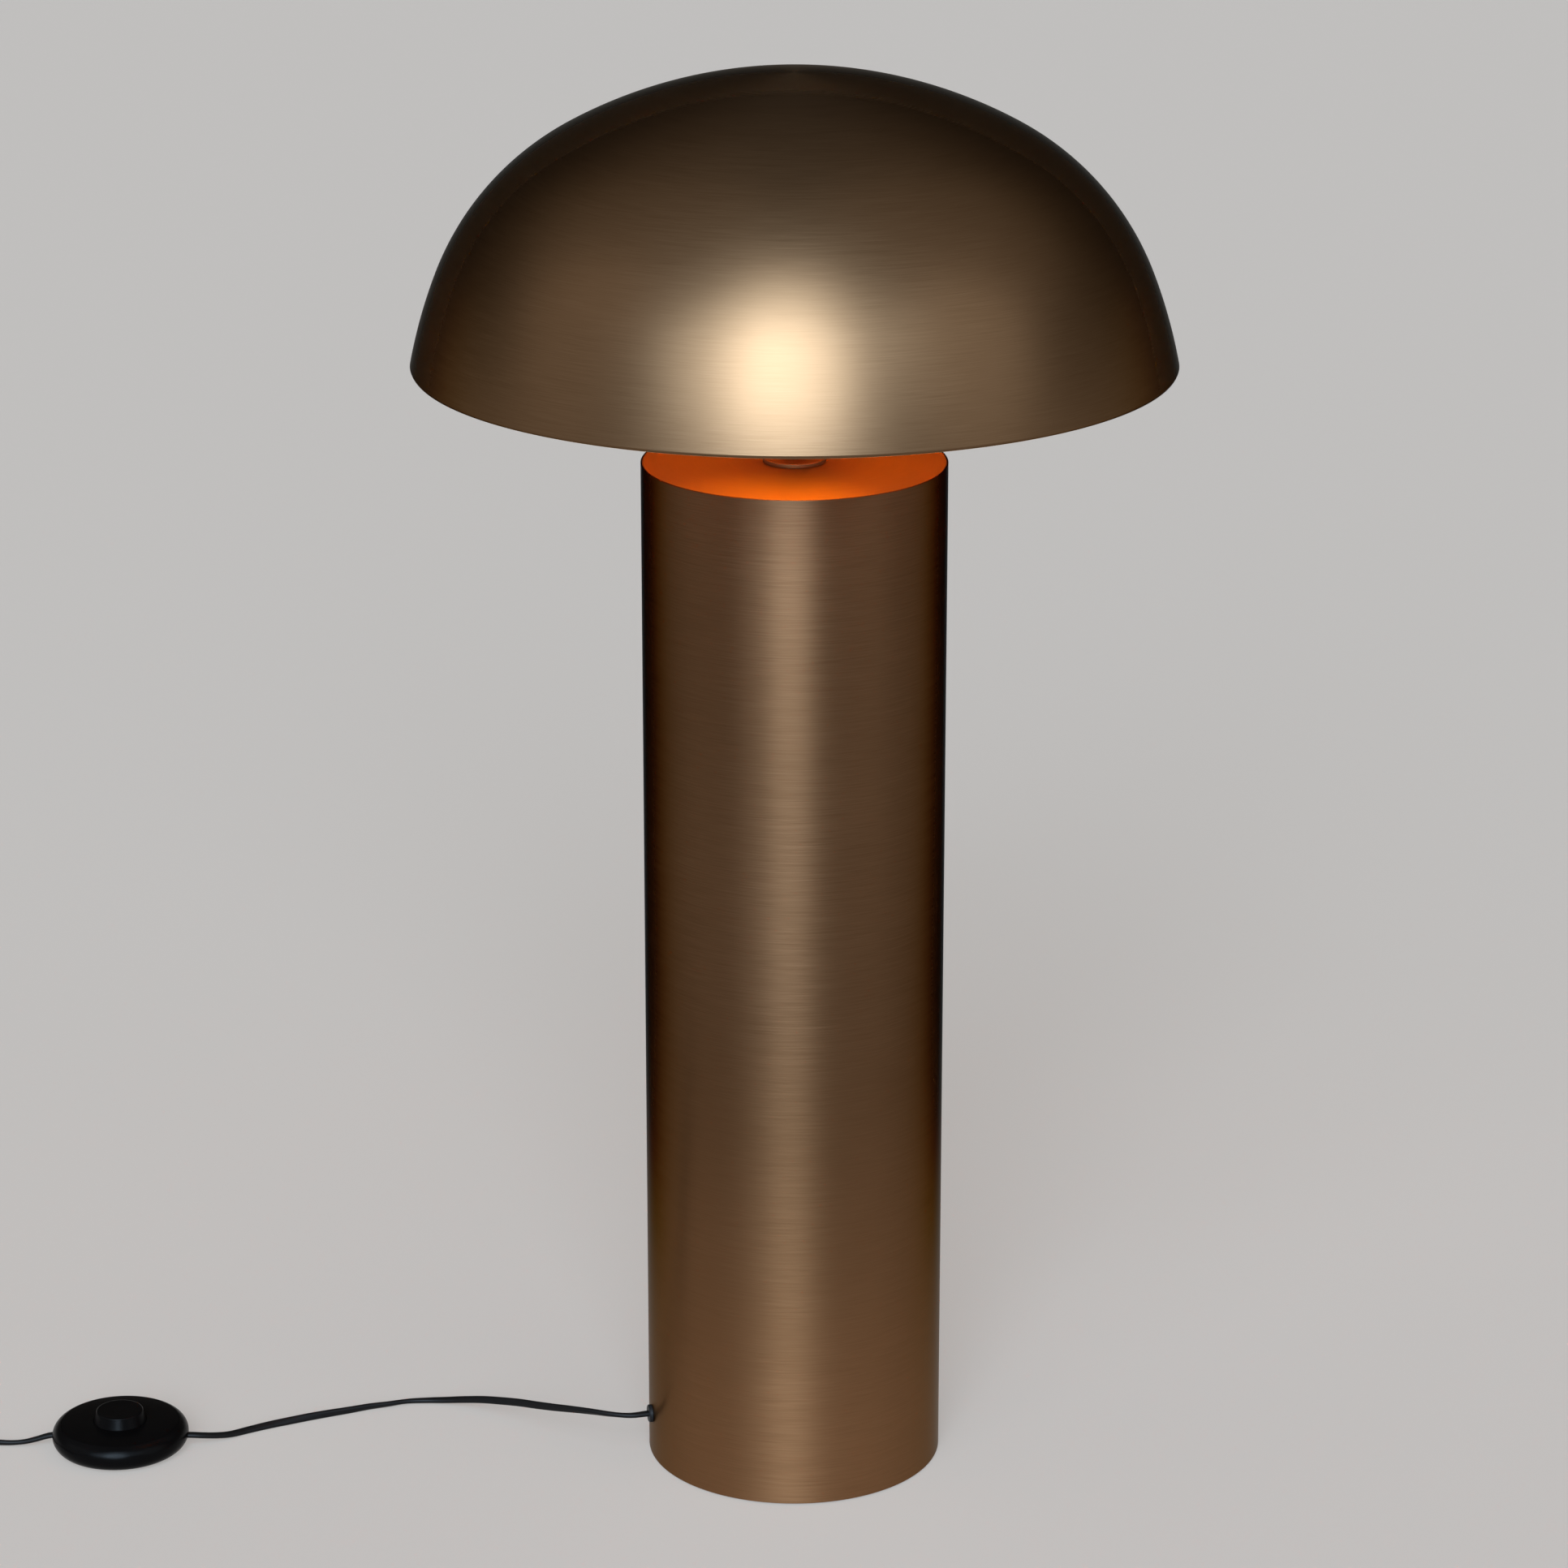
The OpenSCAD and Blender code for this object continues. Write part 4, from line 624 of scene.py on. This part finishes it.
def round_corners(bm, verts, radii):
    """Round chosen corners of a chain: radii maps a corner's number to its radius."""
    groups = {}
    for index, radius in radii.items():
        groups.setdefault(radius, []).append(verts[index])
    for radius, group in groups.items():
        bevel_points(bm, group, radius, CORNER_STEPS)


print("outline helpers ready")

# %% [markdown]
# Spinning an outline once round the axis makes the shell. Before the spin each point learns its distance
# along the outline, which is what the brushed finish reads.

# %% Turn an outline into a shell
SAME_PLACE = 1e-6              # points that lie closer than this become one


def measure_along(bm):
    """Write the distance along the outline into each point, from its highest end down the outside."""
    layer = bm.verts.layers.float.new("along")
    ends = [v for v in bm.verts if len(v.link_edges) == 1] or [max(bm.verts, key=lambda v: v.co.z)]
    vert = max(ends, key=lambda v: v.co.z)
    seen, total = {vert}, 0.0
    while True:
        onward = [e.other_vert(vert) for e in vert.link_edges if e.other_vert(vert) not in seen]
        if not onward:
            break
        outer = max(onward, key=lambda v: v.co.x)
        total += (outer.co - vert.co).length
        vert = outer
        vert[layer] = total
        seen.add(vert)


def spin_shell(bm, steps):
    """Spin everything once round the Z axis and close it."""
    bmesh.ops.spin(bm, geom=bm.verts[:] + bm.edges[:], cent=(0, 0, 0), axis=(0, 0, 1), dvec=(0, 0, 0),
                   angle=math.tau, steps=steps, use_merge=True, use_duplicate=False)
    bmesh.ops.remove_doubles(bm, verts=bm.verts, dist=SAME_PLACE)
    bmesh.ops.recalc_face_normals(bm, faces=bm.faces)


def turned(name, corners, radii, material, steps=128, **rides):
    """A turned piece from the corners of its closed outline."""
    bm = bmesh.new()
    round_corners(bm, outline_chain(bm, corners), radii)
    measure_along(bm)
    spin_shell(bm, steps)
    return finish_piece(bm, name, material, **rides)


print("turning helpers ready")

# %% [markdown]
# The body is a tube of sheet brass, and the top is a separate disc that sits in it. The photograph shows the
# disc flush with the tube's edge and only a hairline between them, so both edges get a very small radius.
# The tube's outline goes round its whole wall, and so the inside is real too.

# %% The body tube and its top
body_low, body_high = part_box("body_tube")
TUBE_TOP, TUBE_FOOT = body_high.z, body_low.z
TUBE_WALL = 1.2 * MM
TUBE_EDGE = 0.35 * MM
PLATE_THICK, PLATE_SKIRT = 1.5 * MM, 14 * MM
PLATE_EDGE = 0.4 * MM
NIPPLE_HOLE = 5.05 * MM        # radius of the hole that the threaded nipple passes through
BODY_STEPS = 256               # wide shells are turned in more steps than small ones

plate_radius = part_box("top_plate")[1].x
tube_inside = body_high.x - TUBE_WALL
turned(
    "body_shell", [(tube_inside, TUBE_TOP), (body_high.x, TUBE_TOP), (body_high.x, TUBE_FOOT),
                   (tube_inside, TUBE_FOOT)],
    {0: TUBE_EDGE, 1: TUBE_EDGE, 2: TUBE_EDGE, 3: TUBE_EDGE}, body_brass, steps=BODY_STEPS,
    nodes=["body_tube"], slot="brass_body")
turned(
    "top_disc", [(NIPPLE_HOLE, TUBE_TOP), (plate_radius, TUBE_TOP), (plate_radius, TUBE_TOP - PLATE_SKIRT),
                 (plate_radius - PLATE_THICK, TUBE_TOP - PLATE_SKIRT),
                 (plate_radius - PLATE_THICK, TUBE_TOP - PLATE_THICK), (NIPPLE_HOLE, TUBE_TOP - PLATE_THICK)],
    {1: PLATE_EDGE, 2: PLATE_EDGE, 3: PLATE_EDGE}, satin_brass, steps=BODY_STEPS,
    nodes=["top_plate"], slot="brass_body")
print("body", round(2 * body_high.x, 3), "wide and", round(TUBE_TOP, 3), "high")

# %% [markdown]
# A small collar and a slim stem carry the shade. Only their lower part shows, in front of the glowing top,
# but their edges catch the light, so each has its rounded rim.

# %% The collar and the stem
collar_low, collar_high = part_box("collar")
stem_low, stem_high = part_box("stem_tube")
COLLAR_EDGE = 0.9 * MM
STEM_EDGE = 0.3 * MM

turned(
    "collar_disc", [(NIPPLE_HOLE, collar_high.z), (collar_high.x, collar_high.z),
                    (collar_high.x, collar_low.z), (NIPPLE_HOLE, collar_low.z)],
    {1: COLLAR_EDGE, 2: STEM_EDGE}, satin_brass, nodes=["collar"], slot="brass_body")
turned(
    "stem_shell", [(NIPPLE_HOLE, stem_high.z), (stem_high.x, stem_high.z), (stem_high.x, stem_low.z),
                   (NIPPLE_HOLE, stem_low.z)],
    {1: STEM_EDGE, 2: STEM_EDGE}, satin_brass, nodes=["stem_tube"], slot="brass_body")
print("stem", round((stem_high.z - stem_low.z) * 1000, 1), "mm long")

# %% [markdown]
# The shade is spun from one disc of brass. Its outline is three arcs that flow into each other: a flat crown,
# a rounder shoulder and a steep side. At the rim the sheet curls inwards into a bead, which stiffens it and
# shows as a thin dark lip. The arcs' centres follow from their radii, so the arcs meet without a kink.

# %% The arcs of the dome
DOME_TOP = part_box("dome_shade")[1].z
DOME_WALL = 1.2 * MM
CROWN_RADIUS, SHOULDER_RADIUS, SIDE_RADIUS = 311 * MM, 180 * MM, 333 * MM
CROWN_TO, SHOULDER_TO, SIDE_TO = 29, 68.4, 78.6     # slopes where the arcs meet, in degrees
BEAD_RADIUS, BEAD_STEP = 2.2 * MM, 0.15 * MM
INNER_LAP = 0.2                # the inside starts this much above the bead's end, in degrees


def toward(slope):
    """Direction that leans outwards from straight up by a slope in degrees."""
    return Vector((math.sin(math.radians(slope)), 0, math.cos(math.radians(slope))))


crown_centre = Vector((0, 0, DOME_TOP - CROWN_RADIUS))
shoulder_centre = crown_centre + (CROWN_RADIUS - SHOULDER_RADIUS) * toward(CROWN_TO)
side_centre = shoulder_centre - (SIDE_RADIUS - SHOULDER_RADIUS) * toward(SHOULDER_TO)
rim = side_centre + SIDE_RADIUS * toward(SIDE_TO)
bead_centre = rim - Vector((BEAD_RADIUS + BEAD_STEP, 0, 0))
bead_meets = math.degrees(math.acos(((BEAD_RADIUS + BEAD_STEP) * math.sin(math.radians(SIDE_TO)) - DOME_WALL)
                                    / BEAD_RADIUS))
bead_last = 360 + SIDE_TO - bead_meets
inner_low = rim.z + BEAD_RADIUS * math.cos(math.radians(bead_last)) - side_centre.z
inner_to = math.degrees(math.acos(inner_low / (SIDE_RADIUS - DOME_WALL)))
inner_start = inner_to - INNER_LAP
print("dome", round(2 * rim.x, 3), "wide, rim at", round(rim.z, 4))

# %% [markdown]
# An arc is drawn by spinning a single point about the arc's centre. The inside repeats the same arcs one wall
# further in.

# %% The dome
CROWN_STEPS, SHOULDER_STEPS, SIDE_STEPS, BEAD_STEPS = 24, 32, 12, 20
LOOKS_DOWN = -0.9              # faces that point down more than this are the bead's underside


def draw_arc(bm, vert, centre, degrees, steps):
    """Carry on a chain of edges from a point along an arc, and give back its last point."""
    made = bmesh.ops.spin(bm, geom=[vert], cent=centre, axis=(0, 1, 0), dvec=(0, 0, 0),
                          angle=math.radians(degrees), steps=steps, use_merge=False, use_duplicate=False)
    return [g for g in made["geom_last"] if isinstance(g, bmesh.types.BMVert)][0]


bm = bmesh.new()
end = bm.verts.new((0, 0, DOME_TOP))
end = draw_arc(bm, end, crown_centre, CROWN_TO, CROWN_STEPS)
end = draw_arc(bm, end, shoulder_centre, SHOULDER_TO - CROWN_TO, SHOULDER_STEPS)
end = draw_arc(bm, end, side_centre, SIDE_TO - SHOULDER_TO, SIDE_STEPS)
start = bm.verts.new(bead_centre + BEAD_RADIUS * toward(90))
bm.edges.new((end, start))
end = draw_arc(bm, start, bead_centre, bead_last - 90, BEAD_STEPS)
start = bm.verts.new(side_centre + (SIDE_RADIUS - DOME_WALL) * toward(inner_start))
bm.edges.new((end, start))
end = draw_arc(bm, start, side_centre, SHOULDER_TO - inner_start, SIDE_STEPS)
end = draw_arc(bm, end, shoulder_centre, CROWN_TO - SHOULDER_TO, SHOULDER_STEPS)
end = draw_arc(bm, end, crown_centre, -CROWN_TO, CROWN_STEPS)
measure_along(bm)
spin_shell(bm, BODY_STEPS)
dome = finish_piece(bm, "dome_shell", shade_brass, nodes=["dome_shade"], slot="brass_shade")
dome.data.materials.append(inside_brass)
for face in dome.data.polygons:
    face.material_index = int(face.center.xy.dot(face.normal.xy) < 0 or face.normal.z < LOOKS_DOWN)
print("faces of the dome:", len(dome.data.polygons))

# %% [markdown]
# The bulb is a globe on a screw cap. Its glass is a thin shell that rises from the neck as a cone and closes
# as a ball.

# %% The glass of the bulb
bulb_low, bulb_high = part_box("bulb_glass")
BULB_RADIUS = bulb_high.x
GLASS_WALL = 0.8 * MM
NECK_RADIUS = 13.8 * MM
NECK_SLOPE = 42                # where the cone leaves the ball, in degrees
NECK_BLEND, NECK_BLEND_STEPS = 5 * MM, 6
BALL_STEPS, BULB_STEPS = 40, 96

ball_centre = Vector((0, 0, bulb_high.z - BULB_RADIUS))


def bulb_chain(bm, radius, neck):
    """Half the outline of a ball that runs into a neck."""
    top = bm.verts.new(ball_centre + Vector((0, 0, radius)))
    waist = draw_arc(bm, top, ball_centre, 180 - NECK_SLOPE, BALL_STEPS)
    drop = (waist.co.x - neck) * math.tan(math.radians(NECK_SLOPE))
    low = bm.verts.new((neck, 0, waist.co.z - drop))
    foot = bm.verts.new((neck, 0, bulb_low.z))
    bm.edges.new((waist, low))
    bm.edges.new((low, foot))
    return foot, low


bm = bmesh.new()
outer_foot, outer_bend = bulb_chain(bm, BULB_RADIUS, NECK_RADIUS)
inner_foot, inner_bend = bulb_chain(bm, BULB_RADIUS - GLASS_WALL, NECK_RADIUS - GLASS_WALL)
bm.edges.new((outer_foot, inner_foot))
bevel_points(bm, [outer_bend, inner_bend], NECK_BLEND, NECK_BLEND_STEPS)
spin_shell(bm, BULB_STEPS)
finish_piece(bm, "bulb_shell", amber_glass, body="bulb", nodes=["bulb_glass"], slot="bulb_glass")
print("bulb", round(2 * BULB_RADIUS, 3), "wide")

# %% [markdown]
# The metal cap is turned like the other shells, with a flare at its top that takes the glass. It carries a
# real rounded thread: a small oval is carried round it while it climbs. The thread's crest has to stay inside
# the screw shell of the holder, so the cap's wall is placed by it.

# %% The cap of the bulb and its thread
THREAD_PITCH, THREAD_DEPTH = 3.6 * MM, 1.1 * MM
THREAD_TURNS = 4
THREAD_START = 3.6 * MM        # the height at which the thread starts, above the cap's foot
THREAD_CREST = 13.2 * MM       # the thread stays within this radius; the screw shell is 0.3 mm outside it
THREAD_SECTION = (THREAD_DEPTH * 0.95, THREAD_PITCH * 0.42)
CAP_WALL = 0.4 * MM
CAP_FLARE, CAP_LIP = 3.9 * MM, 0.5 * MM     # where the cap's flare starts and ends, below its top
NECK_GAP = 0.1 * MM            # between the glass neck and the flare
COIL_SIDES, COIL_STEPS = 10, 48     # of a thread's or a spring's section, and in one of its turns

cap_low, cap_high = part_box("bulb_cap")
cap_radius = THREAD_CREST - THREAD_DEPTH
flare_low, flare_high = cap_high.z - CAP_FLARE, cap_high.z - CAP_LIP
flare_inside = NECK_RADIUS + NECK_GAP
bm = bmesh.new()
outline_chain(bm, [(cap_radius, cap_low.z), (cap_radius, flare_low), (flare_inside + CAP_WALL, flare_high),
                   (flare_inside, flare_high), (cap_radius - CAP_WALL, flare_low + CAP_WALL / 2),
                   (cap_radius - CAP_WALL, cap_low.z)])
spin_shell(bm, BULB_STEPS)
finish_piece(bm, "bulb_cap_skin", finish["cap_aluminium"], body="bulb", nodes=["bulb_cap"], slot="bulb_metal")


def climbing_coil(name, radius, section, pitch, turns, foot, material, **rides):
    """An oval ring carried round and up from the foot. Its section is half its width and half its height."""
    half_wide, half_high = section
    bm = bmesh.new()
    ring = bmesh.ops.create_circle(bm, segments=COIL_SIDES, radius=half_high)["verts"]
    bmesh.ops.rotate(bm, verts=ring, matrix=Matrix.Rotation(math.pi / 2, 3, "X"))
    bmesh.ops.scale(bm, verts=ring, vec=(half_wide / half_high, 1, 1))
    bmesh.ops.translate(bm, verts=ring, vec=(radius, 0, 0))
    edges = list(bm.edges)
    bmesh.ops.contextual_create(bm, geom=edges)
    turn = Matrix.Rotation(math.tau / COIL_STEPS, 4, "Z")
    for _ in range(COIL_STEPS * turns):
        verts, edges = grown(bm, edges)
        bmesh.ops.transform(bm, verts=verts, matrix=turn)
        bmesh.ops.translate(bm, verts=verts, vec=(0, 0, pitch / COIL_STEPS))
    bmesh.ops.contextual_create(bm, geom=edges)
    bmesh.ops.translate(bm, verts=bm.verts, vec=foot)
    bmesh.ops.recalc_face_normals(bm, faces=bm.faces)
    return finish_piece(bm, name, material, **rides)


climbing_coil("bulb_cap_thread", cap_radius, THREAD_SECTION, THREAD_PITCH, THREAD_TURNS,
              (0, 0, cap_low.z + THREAD_START), finish["cap_aluminium"], body="bulb", slot="bulb_metal")
print("cap", round(2000 * cap_radius, 1), "mm wide under its thread")

# %% [markdown]
# Under the switch's button stands a small compression spring. It can't simply ride on the button, because its
# foot stays where it is while its top goes down. So the same coil makes it, on a mesh of its own.

# %% The spring under the button
spring_low, spring_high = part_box("button_spring")
SPRING_WIRE = 0.45 * MM        # half of the wire's width
SPRING_CURLS = 6

spring_climb = spring_high.z - spring_low.z - 2 * SPRING_WIRE
spring_radius = (spring_high.x - spring_low.x) / 2 - SPRING_WIRE
spring_foot = Vector(((spring_low.x + spring_high.x) / 2, (spring_low.y + spring_high.y) / 2,
                      spring_low.z + SPRING_WIRE))
spring = climbing_coil("spring_coil", spring_radius, (SPRING_WIRE, SPRING_WIRE), spring_climb / SPRING_CURLS,
                       SPRING_CURLS, spring_foot, finish["spring_wire"], nodes=["button_spring"],
                       slot="spring_steel")
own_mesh(spring)
print("spring", round(spring_climb * 1000, 2), "mm of climb")

# %% [markdown]
# Most of the model's own pieces already have the right shape, down to the screws and the ratchet inside the
# switch. They only need their finishes, which are handed out from one table.

# %% Finishes for the model's own pieces
NODE_FINISH = {
    "black_moulding": ["cable_bush", "cord_clip", "holder_cap", "holder_body", "shade_ring", "pin_sleeves"],
    "switch_plastic": ["switch_base", "switch_cover", "switch_button"],
    "ivory_moulding": ["mechanism_cup", "ratchet_rotor", "cord_clamps"],
    "steatite": ["holder_core"],
    "zinc_steel": ["tube_lugs", "ballast_screws", "clip_screw", "plate_washer", "spring_washer",
                   "terminal_screws", "switch_terminal_screws", "clamp_screws", "cover_screws", "plug_pins"],
    "painted_iron": ["ballast"],
    "plain_brass": ["nipple", "nipple_nut", "spider"],
    "contact_brass": ["screw_shell", "centre_contact", "side_contact", "contact_wiper", "fixed_contacts"],
    "cap_aluminium": ["bulb_contact"],
    "foam_rubber": ["foot_ring", "switch_feet"],
    "core_brown": ["switch_cores"],
    "cap_glass": ["bulb_insulator"],
    "woven_strap": ["coil_tie"],
}


def dress(node, material):
    """Give a node of the model its finish."""
    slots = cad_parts[node].data.materials
    slots.clear()
    slots.append(material)


for name, nodes in NODE_FINISH.items():
    for node in nodes:
        dress(node, finish[name])
dress("inner_lead", flex_pvc)
dress("bulb_stem", stem_glass)
dress("bulb_filaments", filament_glow)
print("nodes dressed:", sum(len(nodes) for nodes in NODE_FINISH.values()) + 3)

# %% [markdown]
# The lengths of the flex's two stretches are printed. The first stretch is all in view, and the second one
# runs from the switch to the plug and is put away in a coil just outside the picture.

print("flex declared:", round(lamp_length, 3), "m and", round(plug_length, 3), "m")

# %% [markdown]
# The floor is plain, pale and very large, so the photograph's camera sees nothing else behind the lamp. What
# the camera, and anything shiny or clear, sees of it is mostly a steady grey of its own, so it looks even
# from every side. A part of it is an ordinary surface that takes the shadow of the lamp.

# %% The floor
FLOOR_GREY = (0.321, 0.310, 0.301)
FLOOR_SURFACE = (0.205, 0.172, 0.148)
FLOOR_SIZE = 80
FLOOR_DROP = 0.2 * MM          # the floor lies this far below the feet, so the two never flicker

bm = bmesh.new()
bmesh.ops.create_grid(bm, x_segments=1, y_segments=1, size=FLOOR_SIZE / 2)
bmesh.ops.translate(bm, verts=bm.verts, vec=(0, 0, -FLOOR_DROP))
floor_mesh = bpy.data.meshes.new("floor")
bm.to_mesh(floor_mesh)
bm.free()
floor = placed("floor", floor_mesh)

floor_paint = bpy.data.materials.new("floor_paint")
floor_paint.use_nodes = True
tree = floor_paint.node_tree
tree.nodes.remove(tree.nodes["Principled BSDF"])
rays = add(tree, "ShaderNodeLightPath").outputs
seen = maths(tree, "MAXIMUM", rays["Is Camera Ray"], rays["Is Glossy Ray"])
seen = maths(tree, "MAXIMUM", seen, rays["Is Transmission Ray"])
plain = add(tree, "ShaderNodeEmission", {"Color": (*FLOOR_GREY, 1), "Strength": seen}).outputs[0]
surface = add(tree, "ShaderNodeBsdfDiffuse", {"Color": (*FLOOR_SURFACE, 1)}).outputs[0]
both = add(tree, "ShaderNodeAddShader", {0: plain, 1: surface}).outputs[0]
tree.links.new(both, tree.nodes["Material Output"].inputs["Surface"])
floor_mesh.materials.append(floor_paint)
print("floor", FLOOR_SIZE, "m wide")

# %% [markdown]
# Metal shows what stands round it, so the room matters as much as the lamps. All round the horizon it is pale
# and even, like the floor, so no hard line shows behind the lamp. Overhead it is darker, and most of all
# behind the lamp, which keeps the crown dark.

# %% The room
ROOM_LOW = (0.521, 0.515, 0.503)
ROOM_HIGH = (0.175, 0.158, 0.132)
ROOM_BEHIND = (0.062, 0.056, 0.047)
HORIZON_BAND = (0.0, 0.14)     # the heights between which the pale band turns into the darker room
BACK_OF_ROOM = (-0.1, 0.9)     # how far back the room starts to darken, and where it is darkest

world = bpy.data.worlds.new("plain_room")
world.use_nodes = True
tree = world.node_tree
direction = add(tree, "ShaderNodeTexCoord").outputs["Generated"]
ahead = add(tree, "ShaderNodeSeparateXYZ", {0: direction}).outputs
overhead = mixed(tree, eased(tree, ahead[1], *BACK_OF_ROOM), ROOM_HIGH, ROOM_BEHIND)
room = mixed(tree, eased(tree, ahead[2], *HORIZON_BAND), ROOM_LOW, overhead)
tree.links.new(room, tree.nodes["Background"].inputs["Color"])
bpy.context.scene.world = world
print("room made:", world.name)

# %% [markdown]
# The lamps are a few large soft ones, all far away so that the floor is lit evenly. The key stands above the
# camera and draws the tall highlight on the dome and the body. It is cooler than the room, as daylight from a
# window is, and this keeps the highlight pale on a brown metal. Weaker lamps beside it soften the highlight's
# edges, and others to the right and left lift the sides. A small amber lamp in the bulb lights the inside of
# the shade and the top of the body.

# %% The lamps
COOL, HALF_COOL, WHITE = (0.75, 0.97, 1.20), (0.90, 0.99, 1.06), (1, 1, 1)
SOFT_LAMPS = [
    # name, direction from the front in degrees to the right, elevation, width in degrees, strength, colour
    ("key", -3, 25, 34, 3.7, COOL),
    ("key_high", -4, 47, 26, 1.0, COOL),
    ("key_shoulder", -26, 28, 34, 1.1, COOL),
    ("right_shoulder", 26, 34, 32, 0.34, COOL),
    ("right_fill", 58, 26, 44, 0.40, HALF_COOL),
    ("left_fill", -76, 26, 46, 0.20, WHITE),
    ("high_left", -100, 55, 60, 0.14, WHITE),
    ("high_right", 97, 55, 60, 0.16, WHITE),
]
BULB_WATTS = 1.6
GLOW_SIZE = 40 * MM            # wide, so the spider's arms leave only faint bands on the lit top

for name, azimuth, elevation, width, strength, colour in SOFT_LAMPS:
    sun = bpy.data.lights.new(name, "SUN")
    sun.energy = strength
    sun.color = colour
    sun.angle = math.radians(width)
    a, e = math.radians(azimuth), math.radians(elevation)
    source = Vector((math.sin(a) * math.cos(e), -math.cos(a) * math.cos(e), math.sin(e)))
    placed(name, sun).rotation_euler = source.to_track_quat("Z", "Y").to_euler()

glow = bpy.data.lights.new("bulb_glow", "POINT")
glow.color = AMBER_LIGHT
glow.energy = BULB_WATTS
glow.shadow_soft_size = GLOW_SIZE
placed("bulb_glow", glow).location = ball_centre

bpy.context.scene.view_settings.view_transform = "Standard"
print("soft lamps:", len(SOFT_LAMPS))
